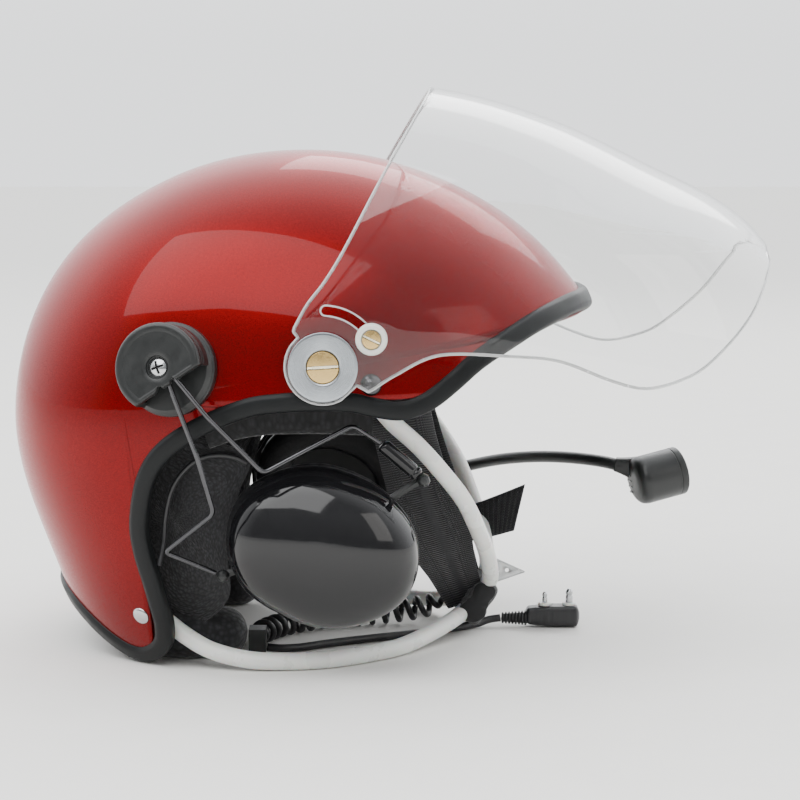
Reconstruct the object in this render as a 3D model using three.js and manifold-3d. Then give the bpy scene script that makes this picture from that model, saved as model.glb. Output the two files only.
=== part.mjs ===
// An open-face flying helmet with a raised clear visor, ear cups on spring wires,
// a tube chin guard and a boom microphone. Millimetres, +X forward, +Y the wearer's left, +Z up.
import * as THREE from "three";
import { mergeVertices } from "three/addons/utils/BufferGeometryUtils.js";
import Module from "manifold-3d";

const wasm = await Module();
wasm.setup();

// Fits shared by every piece
const GAP = 0.3;
const OVERRUN = 30;
const RUN_FIT = 0.35;

// Shell: an egg whose side view is a polar outline about its centre, cut along the trim line
const CROWN_RADIUS = 121;
const SHELL_HALF_WIDTH = 117;
const SHELL_WALL = 3.2;
const SHELL_X_SHARE = -0.4017;
const SHELL_X = SHELL_X_SHARE * CROWN_RADIUS;
const SHELL_Z_SHARE = 0.9339;
const SHELL_Z = SHELL_Z_SHARE * CROWN_RADIUS;
const SHELL_SQUARENESS = 2.35;
const outlineShares = [1.306, 1.165, 1.045, 1, 1.025, 1.091, 1.124, 1.14, 1.306, 1.364, 1.388, 1.364];
const EGG_AROUND = 28;
const EGG_ACROSS = 12;

// The edge of the shell seen from the side, from past the brow to past the nape,
// as shares of the crown radius from the shell's centre
const edgeShares = [
  [1.5, 0.44],
  [1.3, 0.43],
  [1.125, 0.42],
  [1.035, 0.413],
  [0.91, 0.372],
  [0.794, 0.312],
  [0.684, 0.246],
  [0.592, 0.171],
  [0.518, 0.115],
  [0.453, 0.085],
  [0.387, 0.075],
  [0.293, 0.091],
  [0.22, 0.107],
  [0.076, 0.111],
  [-0.051, 0.104],
  [-0.16, 0.085],
  [-0.325, 0.017],
  [-0.46, -0.076],
  [-0.531, -0.188],
  [-0.562, -0.35],
  [-0.551, -0.466],
  [-0.52, -0.582],
  [-0.491, -0.701],
  [-0.482, -0.755],
  [-0.486, -0.819],
  [-0.521, -0.869],
  [-0.588, -0.89],
  [-0.7, -0.845],
  [-0.921, -0.694],
  [-1.15, -0.55],
  [-1.4, -0.4],
];
const EDGE_STEPS = 44;
const TRIM_ACROSS = 7.2;
const TRIM_WIDTH = 8.8;
const BROW_TRIM_GROWTH_SHARE = 0.2;

// Linings
const FOAM_THICKNESS = 18;
const PAD_THICKNESS = 6;
const FOAM_SETBACK = 5.6;
const PAD_SETBACK = 9;
const LINING_NAPE_Z = 44;
const SIDE_PAD_THICKNESS = 10;
const SIDE_PAD_ROUND = 8;
const ROLL_RADIUS = 12;

// Visor: a second egg about the hub axis, cut to its outline by polar points about the hub
const VISOR_REACH = 214;
const VISOR_THICKNESS = 2;
const VISOR_STANDOFF = 5;
const VISOR_HALF_WIDTH = SHELL_HALF_WIDTH + VISOR_STANDOFF;
const VISOR_SQUARENESS = 3;
const HUB_X_SHARE = -0.2777;
const HUB_X = HUB_X_SHARE * CROWN_RADIUS;
const HUB_Z_SHARE = 1.1777;
const HUB_Z = HUB_Z_SHARE * CROWN_RADIUS;
const ARM_RADIUS = 16.5;
// Radius of the middle of the visor every 15 degrees from straight forward, as shares of its reach
const visorShares = [
  1.065, 0.977, 0.804, 0.7, 0.635, 0.596, 0.58, 0.58, 0.58, 0.58, 0.58, 0.58,
  0.6, 0.6, 0.6, 0.6, 0.6, 0.62, 0.66, 0.72, 0.8, 0.9, 1.02, 1.09,
];
const VISOR_AROUND = 36;
const VISOR_ACROSS = 14;
// Lower edge then upper edge, each as [degrees, share of the reach] about the hub
const visorLowerShares = [
  [-29, 0.108],
  [-7, 0.148],
  [5.5, 0.239],
  [3, 0.381],
  [1, 0.484],
  [-3.2, 0.591],
  [-4.4, 0.665],
  [-2.8, 0.738],
  [-0.2, 0.8],
  [5.5, 0.894],
  [11.1, 0.967],
  [13.4, 1.0],
  [13.8, 1.2],
];
const visorUpperShares = [
  [67.8, 1.2],
  [68.3, 0.6],
  [72.2, 0.412],
  [79.5, 0.242],
  [89, 0.171],
  [104, 0.13],
  [130, 0.095],
];
const SLOT_RADIUS = 24.5;
const SLOT_HALF_WIDTH = 2.3;
const SLOT_START = 30;
const SLOT_TURN = 57;

// Visor hardware
const DISC_RADIUS = 15.3;
const DISC_THICKNESS = 2.4;
const HUB_NECK_RADIUS = 7.8;
const HUB_BASE_RADIUS = 11;
const HUB_SCREW_RADIUS = 6.9;
const KNOB_RADIUS = 7;
const KNOB_NECK_RADIUS = 1.9;
const KNOB_HEIGHT = 4.6;
const KNOB_SCREW_RADIUS = 4;
const SCREW_SINK = 1.4;
const SCREW_SLOT = 1.3;
const STUD_RADIUS = 4.9;
const STUD_HEIGHT = 3.4;
const studShares = [0.297, 0.171];
const RIVET_RADIUS = 4.2;
const RIVET_HEIGHT = 1.7;
const RIVET_SHANK = 1.8;
const rivetShares = [-0.571, -0.727];

// Ear mounts
const MOUNT_RADIUS = 19.7;
const MOUNT_BASE_THICKNESS = 7;
const MOUNT_CAP_THICKNESS = 12;
const MOUNT_WALL = 2.4;
const mountShares = [-0.428, 0.222];
const MOUNT_SCREW_RADIUS = 4.4;
const WINDOW_START = -112;
const WINDOW_TURN = 122;
const WIRE_RADIUS = 1.1;
const WIRE_BEND = 3;
const SLEEVE_RADIUS = 3.3;

// Ear cups: a dome whose outline is polar, in millimetres from its centre
const CUP_X_SHARE = -0.2975;
const CUP_X = CUP_X_SHARE * CROWN_RADIUS;
const CUP_Z_SHARE = 0.4959;
const CUP_Z = CUP_Z_SHARE * CROWN_RADIUS;
const CUP_RADIUS = 42;
const cupShares = [0.952, 0.89, 0.829, 0.84, 0.905, 1, 1, 0.94, 0.84, 0.852, 0.89, 1.01];
const CUP_BASE_SHARE = 0.8462;
const CUP_BASE_Y = -CUP_BASE_SHARE * SHELL_HALF_WIDTH;
const CUP_DOME = 26;
const CUP_SQUARENESS = 2.2;
const CUP_WALL = 2.2;
const PLATE_THICKNESS = 4;
const PLATE_SHARE = 0.98;
const PLATE_OPENING_RADIUS = 17;
const CUSHION_DEPTH = 17;
const CUSHION_BAND = 18;
const SPEAKER_RADIUS = 21;
const SPEAKER_THICKNESS = 6;
const BALL_RADIUS = 3;

// Chin guard
const TUBE_RADIUS = 4;
const STRAP_WIDTH = 28;
const STRAP_THICKNESS = 1.8;
const CHIN_SLEEVE_HALF_LENGTH = 21;
const CHIN_SLEEVE_ROUND = 4;

// Boom microphone
const BOOM_RADIUS = 2.5;
const BOOM_PIVOT_X_SHARE = 0.1405;
const BOOM_PIVOT_X = BOOM_PIVOT_X_SHARE * CROWN_RADIUS;
const BOOM_PIVOT_Z_SHARE = 0.4959;
const BOOM_PIVOT_Z = BOOM_PIVOT_Z_SHARE * CROWN_RADIUS;
const BOOM_DISC_RADIUS = 6;
const BOOM_DISC_THICKNESS = 6;
const CAPSULE_RADIUS = 12;
const CAPSULE_LENGTH = 18;
const CAPSULE_CAP = 4;

// Cords
const COIL_RADIUS = 6;
const COIL_WIRE_RADIUS = 1.5;
const COIL_TURNS = 19;
const CORD_RADIUS = 1.9;
const CROSS_CABLE_RADIUS = 1.2;

const red = new THREE.MeshStandardMaterial({ color: 0xa30a12, roughness: 0.18, metalness: 0.35 });
const trimRubber = new THREE.MeshStandardMaterial({ color: 0x23272a, roughness: 0.55 });
const foam = new THREE.MeshStandardMaterial({ color: 0x1b1c1d, roughness: 0.9 });
const meshCloth = new THREE.MeshStandardMaterial({ color: 0x111213, roughness: 0.95 });
const clear = new THREE.MeshStandardMaterial({
  color: 0xeef3f2,
  roughness: 0.04,
  transparent: true,
  opacity: 0.25,
});
const aluminium = new THREE.MeshStandardMaterial({ color: 0xb9bec2, roughness: 0.3, metalness: 1 });
const brass = new THREE.MeshStandardMaterial({ color: 0xd8b45a, roughness: 0.3, metalness: 1 });
const steel = new THREE.MeshStandardMaterial({ color: 0x9ba0a4, roughness: 0.25, metalness: 1 });
const nylon = new THREE.MeshStandardMaterial({ color: 0xe6e9e2, roughness: 0.4 });
const blackPlastic = new THREE.MeshStandardMaterial({ color: 0x1c1f1f, roughness: 0.5 });
const glossBlack = new THREE.MeshStandardMaterial({ color: 0x0b0b0c, roughness: 0.08 });
const webbing = new THREE.MeshStandardMaterial({ color: 0x0e0f10, roughness: 0.95 });
const cordRubber = new THREE.MeshStandardMaterial({ color: 0x151617, roughness: 0.5 });

const point = (x, y, z) => new THREE.Vector3(x, y, z);
// Places given as shares of the shell's crown radius along X and Z, and of its half width along Y
const placed = (shares) =>
  shares.map(([x, y, z]) => [x * CROWN_RADIUS, y * SHELL_HALF_WIDTH, z * CROWN_RADIUS]);
const radians = THREE.MathUtils.degToRad;
const Y_AXIS = point(0, 1, 0);

// A closed geometry as a solid that can be joined and cut
function solid(geometry) {
  const plain = geometry.clone();
  plain.deleteAttribute("normal");
  plain.deleteAttribute("uv");
  const merged = mergeVertices(plain, 1e-4);
  return new wasm.Manifold(
    new wasm.Mesh({
      numProp: 3,
      vertProperties: merged.attributes.position.array,
      triVerts: new Uint32Array(merged.index.array),
    }),
  );
}

function geometryOf(made) {
  const { vertProperties, triVerts } = made.getMesh();
  const geometry = new THREE.BufferGeometry();
  geometry.setAttribute("position", new THREE.BufferAttribute(new Float32Array(vertProperties), 3));
  geometry.setIndex(new THREE.BufferAttribute(new Uint32Array(triVerts), 1));
  geometry.computeVertexNormals();
  return geometry;
}

// The group stands with the middle of its box, cords left out, over the origin
const ORIGIN_X = 6.45;
const group = new THREE.Group();
group.position.x = ORIGIN_X;

function piece(parent, name, shape, material) {
  const geometry = shape.isBufferGeometry ? shape : geometryOf(shape);
  const mesh = new THREE.Mesh(geometry, material);
  mesh.name = name;
  parent.add(mesh);
  return mesh;
}

// Radius at an angle, read from evenly spaced radii by a periodic Catmull-Rom curve
function polar(radii) {
  const count = radii.length;
  const at = (i) => radii[((i % count) + count) % count];
  return (angle) => {
    const turns = (angle / (2 * Math.PI)) * count;
    const i = Math.floor(turns);
    const f = turns - i;
    const [a, b, c, d] = [at(i - 1), at(i), at(i + 1), at(i + 2)];
    const curve = 2 * b + (c - a) * f + (2 * a - 5 * b + 4 * c - d) * f * f + (3 * b - a - 3 * c + d) * f ** 3;
    return curve / 2;
  };
}

// Grid of rings joined into one closed surface; poles close the first and last ring
function ringSurface(rings, closed, firstPole, lastPole) {
  const around = rings[0].length;
  const points = rings.flat();
  const faces = [];
  const strips = closed ? rings.length : rings.length - 1;
  for (let i = 0; i < strips; i++) {
    const [low, high] = [i * around, ((i + 1) % rings.length) * around];
    for (let j = 0; j < around; j++) {
      const next = (j + 1) % around;
      faces.push(low + j, high + j, high + next, low + j, high + next, low + next);
    }
  }
  if (!closed) {
    const first = points.push(firstPole) - 1;
    const last = points.push(lastPole) - 1;
    const top = (rings.length - 1) * around;
    for (let j = 0; j < around; j++) {
      const next = (j + 1) % around;
      faces.push(first, j, next, last, top + next, top + j);
    }
  }
  const geometry = new THREE.BufferGeometry().setFromPoints(points);
  geometry.setIndex(faces);
  return outward(geometry);
}

// Turns a closed geometry's faces out if they point in
function outward(geometry) {
  const at = geometry.attributes.position;
  const index = geometry.index.array;
  const [a, b, c] = [point(), point(), point()];
  let volume = 0;
  for (let i = 0; i < index.length; i += 3) {
    a.fromBufferAttribute(at, index[i]);
    b.fromBufferAttribute(at, index[i + 1]);
    c.fromBufferAttribute(at, index[i + 2]);
    volume += a.dot(b.cross(c));
  }
  if (volume < 0) {
    for (let i = 0; i < index.length; i += 3) [index[i + 1], index[i + 2]] = [index[i + 2], index[i + 1]];
  }
  geometry.computeVertexNormals();
  return geometry;
}

// An egg: each section across Y is a superellipse, its side view a polar outline
const shellEgg = {
  x: SHELL_X,
  z: SHELL_Z,
  y: 0,
  radius: polar(outlineShares.map((share) => share * CROWN_RADIUS)),
  halfWidth: SHELL_HALF_WIDTH,
  power: SHELL_SQUARENESS,
};
const visorEgg = {
  x: HUB_X,
  z: HUB_Z,
  y: 0,
  radius: polar(visorShares.map((share) => share * VISOR_REACH)),
  halfWidth: VISOR_HALF_WIDTH,
  power: VISOR_SQUARENESS,
};
const cupEgg = {
  x: CUP_X,
  z: CUP_Z,
  y: CUP_BASE_Y,
  radius: polar(cupShares.map((share) => share * CUP_RADIUS)),
  halfWidth: CUP_DOME,
  power: CUP_SQUARENESS,
};

function egg(form, offset, around, across) {
  const rings = [];
  for (let j = 1; j < across; j++) {
    const tilt = (j / across - 1 / 2) * Math.PI;
    const out = Math.cos(tilt) ** (2 / form.power);
    const y = Math.sign(tilt) * Math.abs(Math.sin(tilt)) ** (2 / form.power) * (form.halfWidth + offset);
    const ring = [];
    for (let i = 0; i < around; i++) {
      const angle = (i / around) * 2 * Math.PI;
      const r = out * (form.radius(angle) + offset);
      ring.push(point(form.x + r * Math.cos(angle), form.y + y, form.z + r * Math.sin(angle)));
    }
    rings.push(ring);
  }
  const pole = form.halfWidth + offset;
  const near = point(form.x, form.y - pole, form.z);
  const far = point(form.x, form.y + pole, form.z);
  return solid(ringSurface(rings, false, near, far));
}

// Half width of an egg at a place in its side view, and the outward normal there on the right side
function halfWidthAt(form, x, z, offset = 0) {
  const angle = Math.atan2(z - form.z, x - form.x);
  const share = Math.hypot(x - form.x, z - form.z) / (form.radius(angle) + offset);
  return share < 1 ? (form.halfWidth + offset) * (1 - share ** form.power) ** (1 / form.power) : 0;
}

const PROBE = 0.5;
function normalAt(form, x, z, side = -1) {
  const slopeX = (halfWidthAt(form, x + PROBE, z) - halfWidthAt(form, x - PROBE, z)) / (2 * PROBE);
  const slopeZ = (halfWidthAt(form, x, z + PROBE) - halfWidthAt(form, x, z - PROBE)) / (2 * PROBE);
  return point(-slopeX, side, -slopeZ).normalize();
}

// A side outline, given in X and Z, carried across the whole width
function sideSolid(outline, halfDepth) {
  const shape = new THREE.Shape(outline);
  const geometry = new THREE.ExtrudeGeometry(shape, { depth: 2 * halfDepth, bevelEnabled: false });
  geometry.rotateX(Math.PI / 2);
  geometry.translate(0, halfDepth, 0);
  return solid(geometry);
}

// The trim line as side view points, moved by a distance towards the shell
const edgeCurve = new THREE.SplineCurve(
  edgeShares.map(([x, z]) => new THREE.Vector2(SHELL_X + x * CROWN_RADIUS, SHELL_Z + z * CROWN_RADIUS)),
);
function edgeLine(setback, kept = () => true) {
  const steps = Array.from({ length: EDGE_STEPS + 1 }, (_, i) => i / EDGE_STEPS);
  return steps.filter((t) => kept(edgeCurve.getPointAt(t))).map((t) => {
    const at = edgeCurve.getPointAt(t);
    const along = edgeCurve.getTangentAt(t);
    return new THREE.Vector2(at.x + along.y * setback, at.y - along.x * setback);
  });
}

const FAR = CROWN_RADIUS + SHELL_HALF_WIDTH + OVERRUN;
const corner = (x, z) => new THREE.Vector2(x, z);

// What is cut away from the shell: all that lies below the trim line
function below(setback) {
  return sideSolid([...edgeLine(setback), corner(-FAR, -FAR), corner(FAR, -FAR)], FAR);
}

// The same for the linings, which stop above the neck roll
function belowLining(setback) {
  const line = edgeLine(setback, (p) => p.y > LINING_NAPE_Z + FOAM_SETBACK || p.x > SHELL_X);
  return sideSolid([...line, corner(-FAR, LINING_NAPE_Z), corner(-FAR, -FAR), corner(FAR, -FAR)], FAR);
}

function layer(outer, inner) {
  return egg(shellEgg, outer, EGG_AROUND, EGG_ACROSS).subtract(egg(shellEgg, inner, EGG_AROUND, EGG_ACROSS));
}

// A place on the right side of the shell, with its outward normal
function onShell([xShare, zShare]) {
  const [x, z] = [SHELL_X + xShare * CROWN_RADIUS, SHELL_Z + zShare * CROWN_RADIUS];
  return { at: point(x, -halfWidthAt(shellEgg, x, z), z), normal: normalAt(shellEgg, x, z) };
}

// A revolved profile of [radius, height] pairs, its height along a normal from a place
function turned(profile, at, normal, segments = 20) {
  const geometry = new THREE.LatheGeometry(profile.map(([r, h]) => new THREE.Vector2(r, h)), segments);
  geometry.applyQuaternion(new THREE.Quaternion().setFromUnitVectors(Y_AXIS, normal));
  geometry.translate(at.x, at.y, at.z);
  return solid(geometry);
}

function rod(radius, from, to, at, normal, segments = 16) {
  return turned([[0, from], [radius, from], [radius, to], [0, to]], at, normal, segments);
}

function ring(inner, outer, from, to, at, normal, segments = 24) {
  return turned([[inner, from], [outer, from], [outer, to], [inner, to], [inner, from]], at, normal, segments);
}

function block(low, high) {
  const size = high.clone().sub(low);
  const geometry = new THREE.BoxGeometry(size.x, size.y, size.z);
  geometry.translate((low.x + high.x) / 2, (low.y + high.y) / 2, (low.z + high.z) / 2);
  return solid(geometry);
}

// A smooth curve through chosen points
const through = (points, closed = false) =>
  new THREE.CatmullRomCurve3(points.map((p) => point(...p)), closed, "centripetal");

// Straight runs joined by round bends
function bent(points, bend) {
  const path = new THREE.CurvePath();
  const places = points.map((p) => point(...p));
  let from = places[0];
  for (let i = 1; i < places.length - 1; i++) {
    const back = places[i - 1].clone().sub(places[i]).setLength(bend).add(places[i]);
    const on = places[i + 1].clone().sub(places[i]).setLength(bend).add(places[i]);
    path.add(new THREE.LineCurve3(from, back));
    path.add(new THREE.QuadraticBezierCurve3(back, places[i], on));
    from = on;
  }
  path.add(new THREE.LineCurve3(from, places[places.length - 1]));
  return path;
}

function tube(curve, radius, sides, steps) {
  const corners = Array.from({ length: sides }, (_, i) => {
    const angle = (i / sides) * 2 * Math.PI;
    return new THREE.Vector2(radius * Math.cos(angle), radius * Math.sin(angle));
  });
  return new THREE.ExtrudeGeometry(new THREE.Shape(corners), { steps, extrudePath: curve, bevelEnabled: false });
}

// A section carried along a curve: sectionAt(t) gives half sizes across and along a facing direction
function swept(curve, steps, sides, sectionAt, facingAt) {
  const closed = Boolean(curve.closed);
  const count = closed ? steps : steps + 1;
  const rings = [];
  for (let i = 0; i < count; i++) {
    const t = i / steps;
    const at = curve.getPointAt(t);
    const along = curve.getTangentAt(t);
    const facing = facingAt(at, t);
    facing.addScaledVector(along, -facing.dot(along)).normalize();
    const across = along.clone().cross(facing);
    const [thick, wide, square] = sectionAt(t);
    const corners = [];
    for (let j = 0; j < sides; j++) {
      const angle = ((j + 1 / 2) / sides) * 2 * Math.PI;
      const [c, s] = [Math.cos(angle), Math.sin(angle)];
      const a = Math.sign(c) * Math.abs(c) ** square * thick;
      const b = Math.sign(s) * Math.abs(s) ** square * wide;
      corners.push(at.clone().addScaledVector(facing, a).addScaledVector(across, b));
    }
    rings.push(corners);
  }
  return ringSurface(rings, closed, curve.getPointAt(0), curve.getPointAt(1));
}

// An outline with its corners rounded
function rounded(points, radius) {
  const shape = new THREE.Shape();
  const places = points.map(([x, z]) => new THREE.Vector2(x, z));
  places.forEach((p, i) => {
    const before = places[(i + places.length - 1) % places.length].clone().sub(p).setLength(radius).add(p);
    const after = places[(i + 1) % places.length].clone().sub(p).setLength(radius).add(p);
    if (i === 0) shape.moveTo(before.x, before.y);
    else shape.lineTo(before.x, before.y);
    shape.quadraticCurveTo(p.x, p.y, after.x, after.y);
  });
  return shape.getPoints(3);
}

// Shell, and the rubber trim that grips its edge
const rivet = onShell(rivetShares);
const rivetHole = rod(RIVET_SHANK + GAP, -SHELL_WALL * 3, SHELL_WALL * 3, rivet.at, rivet.normal, 10);
const mirrored = (made) => {
  const geometry = geometryOf(made);
  geometry.scale(1, -1, 1);
  return solid(outward(geometry));
};
const shell = layer(0, -SHELL_WALL).subtract(below(0)).subtract(rivetHole).subtract(mirrored(rivetHole));
piece(group, "shell", shell, red);

// The trim line on the middle of the shell wall, from the brow to the nape on the right side
function trimLine() {
  const side = [];
  const samples = EDGE_STEPS * 12;
  for (let i = 0; i <= samples; i++) {
    const p = edgeCurve.getPointAt(i / samples);
    const y = halfWidthAt(shellEgg, p.x, p.y, -SHELL_WALL / 2);
    if (y > 0) side.push(point(p.x, -y, p.y));
  }
  const whole = [...side, ...side.toReversed().map((p) => point(p.x, -p.y, p.z))];
  const even = new THREE.CatmullRomCurve3(whole, true, "centripetal");
  even.arcLengthDivisions = samples;
  return new THREE.CatmullRomCurve3(even.getSpacedPoints(EDGE_STEPS).slice(0, -1), true, "centripetal");
}
const trimCurve = trimLine();
const trimFacing = (at) => {
  const away = point(at.x - SHELL_X, 0, at.z - SHELL_Z);
  const side = normalAt(shellEgg, at.x, at.z, Math.sign(at.y) || 1);
  const nearMiddle = Math.min(1, Math.abs(at.y) / (SHELL_HALF_WIDTH / 3));
  return side.multiplyScalar(nearMiddle).addScaledVector(away.normalize(), 1 - nearMiddle);
};
const trimBrow = (t) => 1 + BROW_TRIM_GROWTH_SHARE * Math.max(0, Math.cos(2 * Math.PI * t)) ** 6;
const trimBody = swept(
  trimCurve,
  EDGE_STEPS,
  6,
  (t) => [(TRIM_ACROSS / 2) * trimBrow(t), (TRIM_WIDTH / 2) * trimBrow(t), 1],
  trimFacing,
);
const trimSlot = layer(GAP, -SHELL_WALL - GAP).subtract(below(-GAP));
piece(group, "edge_trim", solid(trimBody).subtract(trimSlot), trimRubber);

// Linings: the foam against the shell, the comfort lining inside it
const FOAM_OUT = -SHELL_WALL - GAP;
const PAD_OUT = FOAM_OUT - FOAM_THICKNESS - GAP;
piece(group, "foam_liner", layer(FOAM_OUT, FOAM_OUT - FOAM_THICKNESS).subtract(belowLining(FOAM_SETBACK)), foam);
piece(group, "comfort_liner", layer(PAD_OUT, PAD_OUT - PAD_THICKNESS).subtract(belowLining(PAD_SETBACK)), meshCloth);

// Side pads reach down behind the ear opening from the comfort lining's line
const sidePadShares = [
  [-0.72, -0.09],
  [-0.5, -0.02],
  [-0.34, -0.12],
  [-0.3, -0.3],
  [-0.3, -0.62],
  [-0.42, -0.72],
  [-0.72, -0.5],
];
const sidePadOutline = rounded(
  sidePadShares.map(([x, z]) => [SHELL_X + x * CROWN_RADIUS, SHELL_Z + z * CROWN_RADIUS]),
  SIDE_PAD_ROUND,
);
const sidePadBody = layer(PAD_OUT, PAD_OUT - SIDE_PAD_THICKNESS).intersect(sideSolid(sidePadOutline, FAR));
const linerKeep = layer(PAD_OUT + GAP, PAD_OUT - PAD_THICKNESS - GAP).subtract(
  belowLining(PAD_SETBACK).translate([2 * GAP, 0, -2 * GAP]),
);
const rightHalf = block(point(-FAR, -FAR, -FAR), point(FAR, 0, FAR));
const sidePad = sidePadBody.intersect(rightHalf).subtract(linerKeep);

// Neck roll: a stuffed tube round the nape, flat where it rests
const rollShares = [
  [-0.5893, -0.4872, 0.095],
  [-0.7107, -0.5128, 0.095],
  [-0.8595, -0.5214, 0.095],
  [-1.0165, -0.4316, 0.1074],
  [-1.1446, -0.2564, 0.1653],
  [-1.1942, 0, 0.2397],
  [-1.1446, 0.2564, 0.1653],
  [-1.0165, 0.4316, 0.1074],
  [-0.8595, 0.5214, 0.095],
  [-0.7107, 0.5128, 0.095],
  [-0.5893, 0.4872, 0.095],
];
const rollRoute = placed(rollShares);
const roundEnd = (t, length, radius) => {
  const near = Math.min(t, 1 - t) * length;
  return near >= radius ? radius : Math.max(Math.sqrt(radius ** 2 - (radius - near) ** 2), radius / 4);
};
const rollCurve = through(rollRoute);
const rollBody = swept(
  rollCurve,
  26,
  10,
  (t) => [roundEnd(t, rollCurve.getLength(), ROLL_RADIUS), roundEnd(t, rollCurve.getLength(), ROLL_RADIUS), 0.9],
  () => point(0, 0, 1),
);
const ground = block(point(-FAR, -FAR, -FAR), point(FAR, FAR, 0));
piece(group, "neck_roll", solid(rollBody).subtract(ground), meshCloth);

// Visor
const aboutHub = ([degrees, share]) => {
  const r = share * VISOR_REACH;
  return [HUB_X + r * Math.cos(radians(degrees)), HUB_Z + r * Math.sin(radians(degrees))];
};
const smooth = (shares, steps) =>
  new THREE.SplineCurve(shares.map((s) => new THREE.Vector2(...aboutHub(s)))).getPoints(steps);
const visorOutline = [
  ...smooth(visorLowerShares, 26),
  new THREE.Vector2(...aboutHub(visorUpperShares[0])),
  ...smooth(visorUpperShares.slice(1), 8),
  new THREE.Vector2(HUB_X, HUB_Z),
];
const hubNear = point(HUB_X, 0, HUB_Z);
const RIGHT = point(0, -1, 0);
const LEFT = point(0, 1, 0);
const VISOR_INSIDE = VISOR_HALF_WIDTH - VISOR_THICKNESS;
const slotArc = (r, from, to) => {
  const steps = 8;
  return Array.from({ length: steps + 1 }, (_, i) => {
    const angle = radians(from + ((to - from) * i) / steps);
    return new THREE.Vector2(HUB_X + r * Math.cos(angle), HUB_Z + r * Math.sin(angle));
  });
};
const slotPlace = (degrees) => point(
  HUB_X + SLOT_RADIUS * Math.cos(radians(degrees)),
  0,
  HUB_Z + SLOT_RADIUS * Math.sin(radians(degrees)),
);
const slotEnd = SLOT_START + SLOT_TURN;
const slotCut = sideSolid(
  [
    ...slotArc(SLOT_RADIUS + SLOT_HALF_WIDTH, SLOT_START, slotEnd),
    ...slotArc(SLOT_RADIUS - SLOT_HALF_WIDTH, slotEnd, SLOT_START),
  ],
  FAR,
)
  .add(rod(SLOT_HALF_WIDTH, -FAR, FAR, slotPlace(SLOT_START), RIGHT, 10))
  .add(rod(SLOT_HALF_WIDTH, -FAR, FAR, slotPlace(slotEnd), RIGHT, 10));
const ARM_STEP = 0.15;
const armDisc = rod(ARM_RADIUS, VISOR_INSIDE - ARM_STEP, VISOR_HALF_WIDTH + ARM_STEP / 3, hubNear, RIGHT, 20);
const visorSheet = egg(visorEgg, 0, VISOR_AROUND, VISOR_ACROSS)
  .subtract(egg(visorEgg, -VISOR_THICKNESS, VISOR_AROUND, VISOR_ACROSS))
  .intersect(sideSolid(visorOutline, FAR))
  .add(armDisc)
  .add(mirrored(armDisc))
  .subtract(slotCut)
  .subtract(rod(HUB_NECK_RADIUS + RUN_FIT, -FAR, FAR, hubNear, RIGHT, 16));
piece(group, "visor", visorSheet, clear);

// Everything that both sides carry is made for the right side; the left is its mirror image
const grownShell = egg(shellEgg, GAP, EGG_AROUND, EGG_ACROSS);
const seated = (made) => made.subtract(grownShell);
const INSIDE = SHELL_HALF_WIDTH - 3 * SHELL_WALL;
const NECK_TOP = VISOR_HALF_WIDTH + GAP;

function crossSlot(at, normal, depthFrom, length, turn, width = SCREW_SLOT) {
  const geometry = new THREE.BoxGeometry(length, 2 * SCREW_SLOT, width);
  geometry.rotateY(turn);
  geometry.translate(0, depthFrom + SCREW_SLOT, 0);
  geometry.applyQuaternion(new THREE.Quaternion().setFromUnitVectors(Y_AXIS, normal));
  geometry.translate(at.x, at.y, at.z);
  return solid(geometry);
}

function hubParts() {
  const post = turned(
    [
      [0, INSIDE],
      [HUB_BASE_RADIUS, INSIDE],
      [HUB_BASE_RADIUS, VISOR_INSIDE - 2 * GAP],
      [HUB_NECK_RADIUS, VISOR_INSIDE - 2 * GAP],
      [HUB_NECK_RADIUS, NECK_TOP],
      [0, NECK_TOP],
    ],
    hubNear,
    RIGHT,
    18,
  );
  const bore = HUB_SCREW_RADIUS + GAP;
  const discFrom = NECK_TOP + GAP;
  const discTo = discFrom + DISC_THICKNESS;
  const head = discTo + GAP;
  const screw = rod(HUB_SCREW_RADIUS, discFrom, head, hubNear, RIGHT, 16);
  return {
    hub_post: [seated(post), blackPlastic],
    hub_disc: [ring(bore, DISC_RADIUS, discFrom, discTo, hubNear, RIGHT, 22), aluminium],
    hub_screw: [screw.subtract(crossSlot(hubNear, RIGHT, head - 1.2, 2 * DISC_RADIUS, 0.06)), brass],
  };
}

function knobParts() {
  const at = slotPlace(SLOT_START);
  const under = VISOR_INSIDE - 5 * GAP;
  const over = VISOR_HALF_WIDTH + GAP;
  const top = over + KNOB_HEIGHT;
  const floor = top - SCREW_SINK;
  const knob = turned(
    [
      [0, INSIDE],
      [KNOB_RADIUS - KNOB_NECK_RADIUS, INSIDE],
      [KNOB_RADIUS - KNOB_NECK_RADIUS, under],
      [KNOB_NECK_RADIUS, under],
      [KNOB_NECK_RADIUS, over],
      [KNOB_RADIUS, over],
      [KNOB_RADIUS, top - GAP],
      [KNOB_RADIUS - GAP, top],
      [KNOB_SCREW_RADIUS + GAP, top],
      [KNOB_SCREW_RADIUS + GAP, floor],
      [0, floor],
    ],
    at,
    RIGHT,
    12,
  );
  const screw = rod(KNOB_SCREW_RADIUS, floor + GAP, top + GAP, at, RIGHT, 14);
  return {
    slide_knob: [seated(knob), nylon],
    knob_screw: [screw.subtract(crossSlot(at, RIGHT, top - GAP * 2, 2 * KNOB_RADIUS, -0.45, 1)), brass],
  };
}

function dome(radius, height, under, place, segments = 12) {
  const rise = Array.from({ length: 4 }, (_, i) => {
    const angle = (i / 3) * (Math.PI / 2);
    return [i === 3 ? 0 : radius * Math.cos(angle), height * Math.sin(angle)];
  });
  return turned([[0, -under], [radius, -under], ...rise], place.at, place.normal, segments);
}

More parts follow.
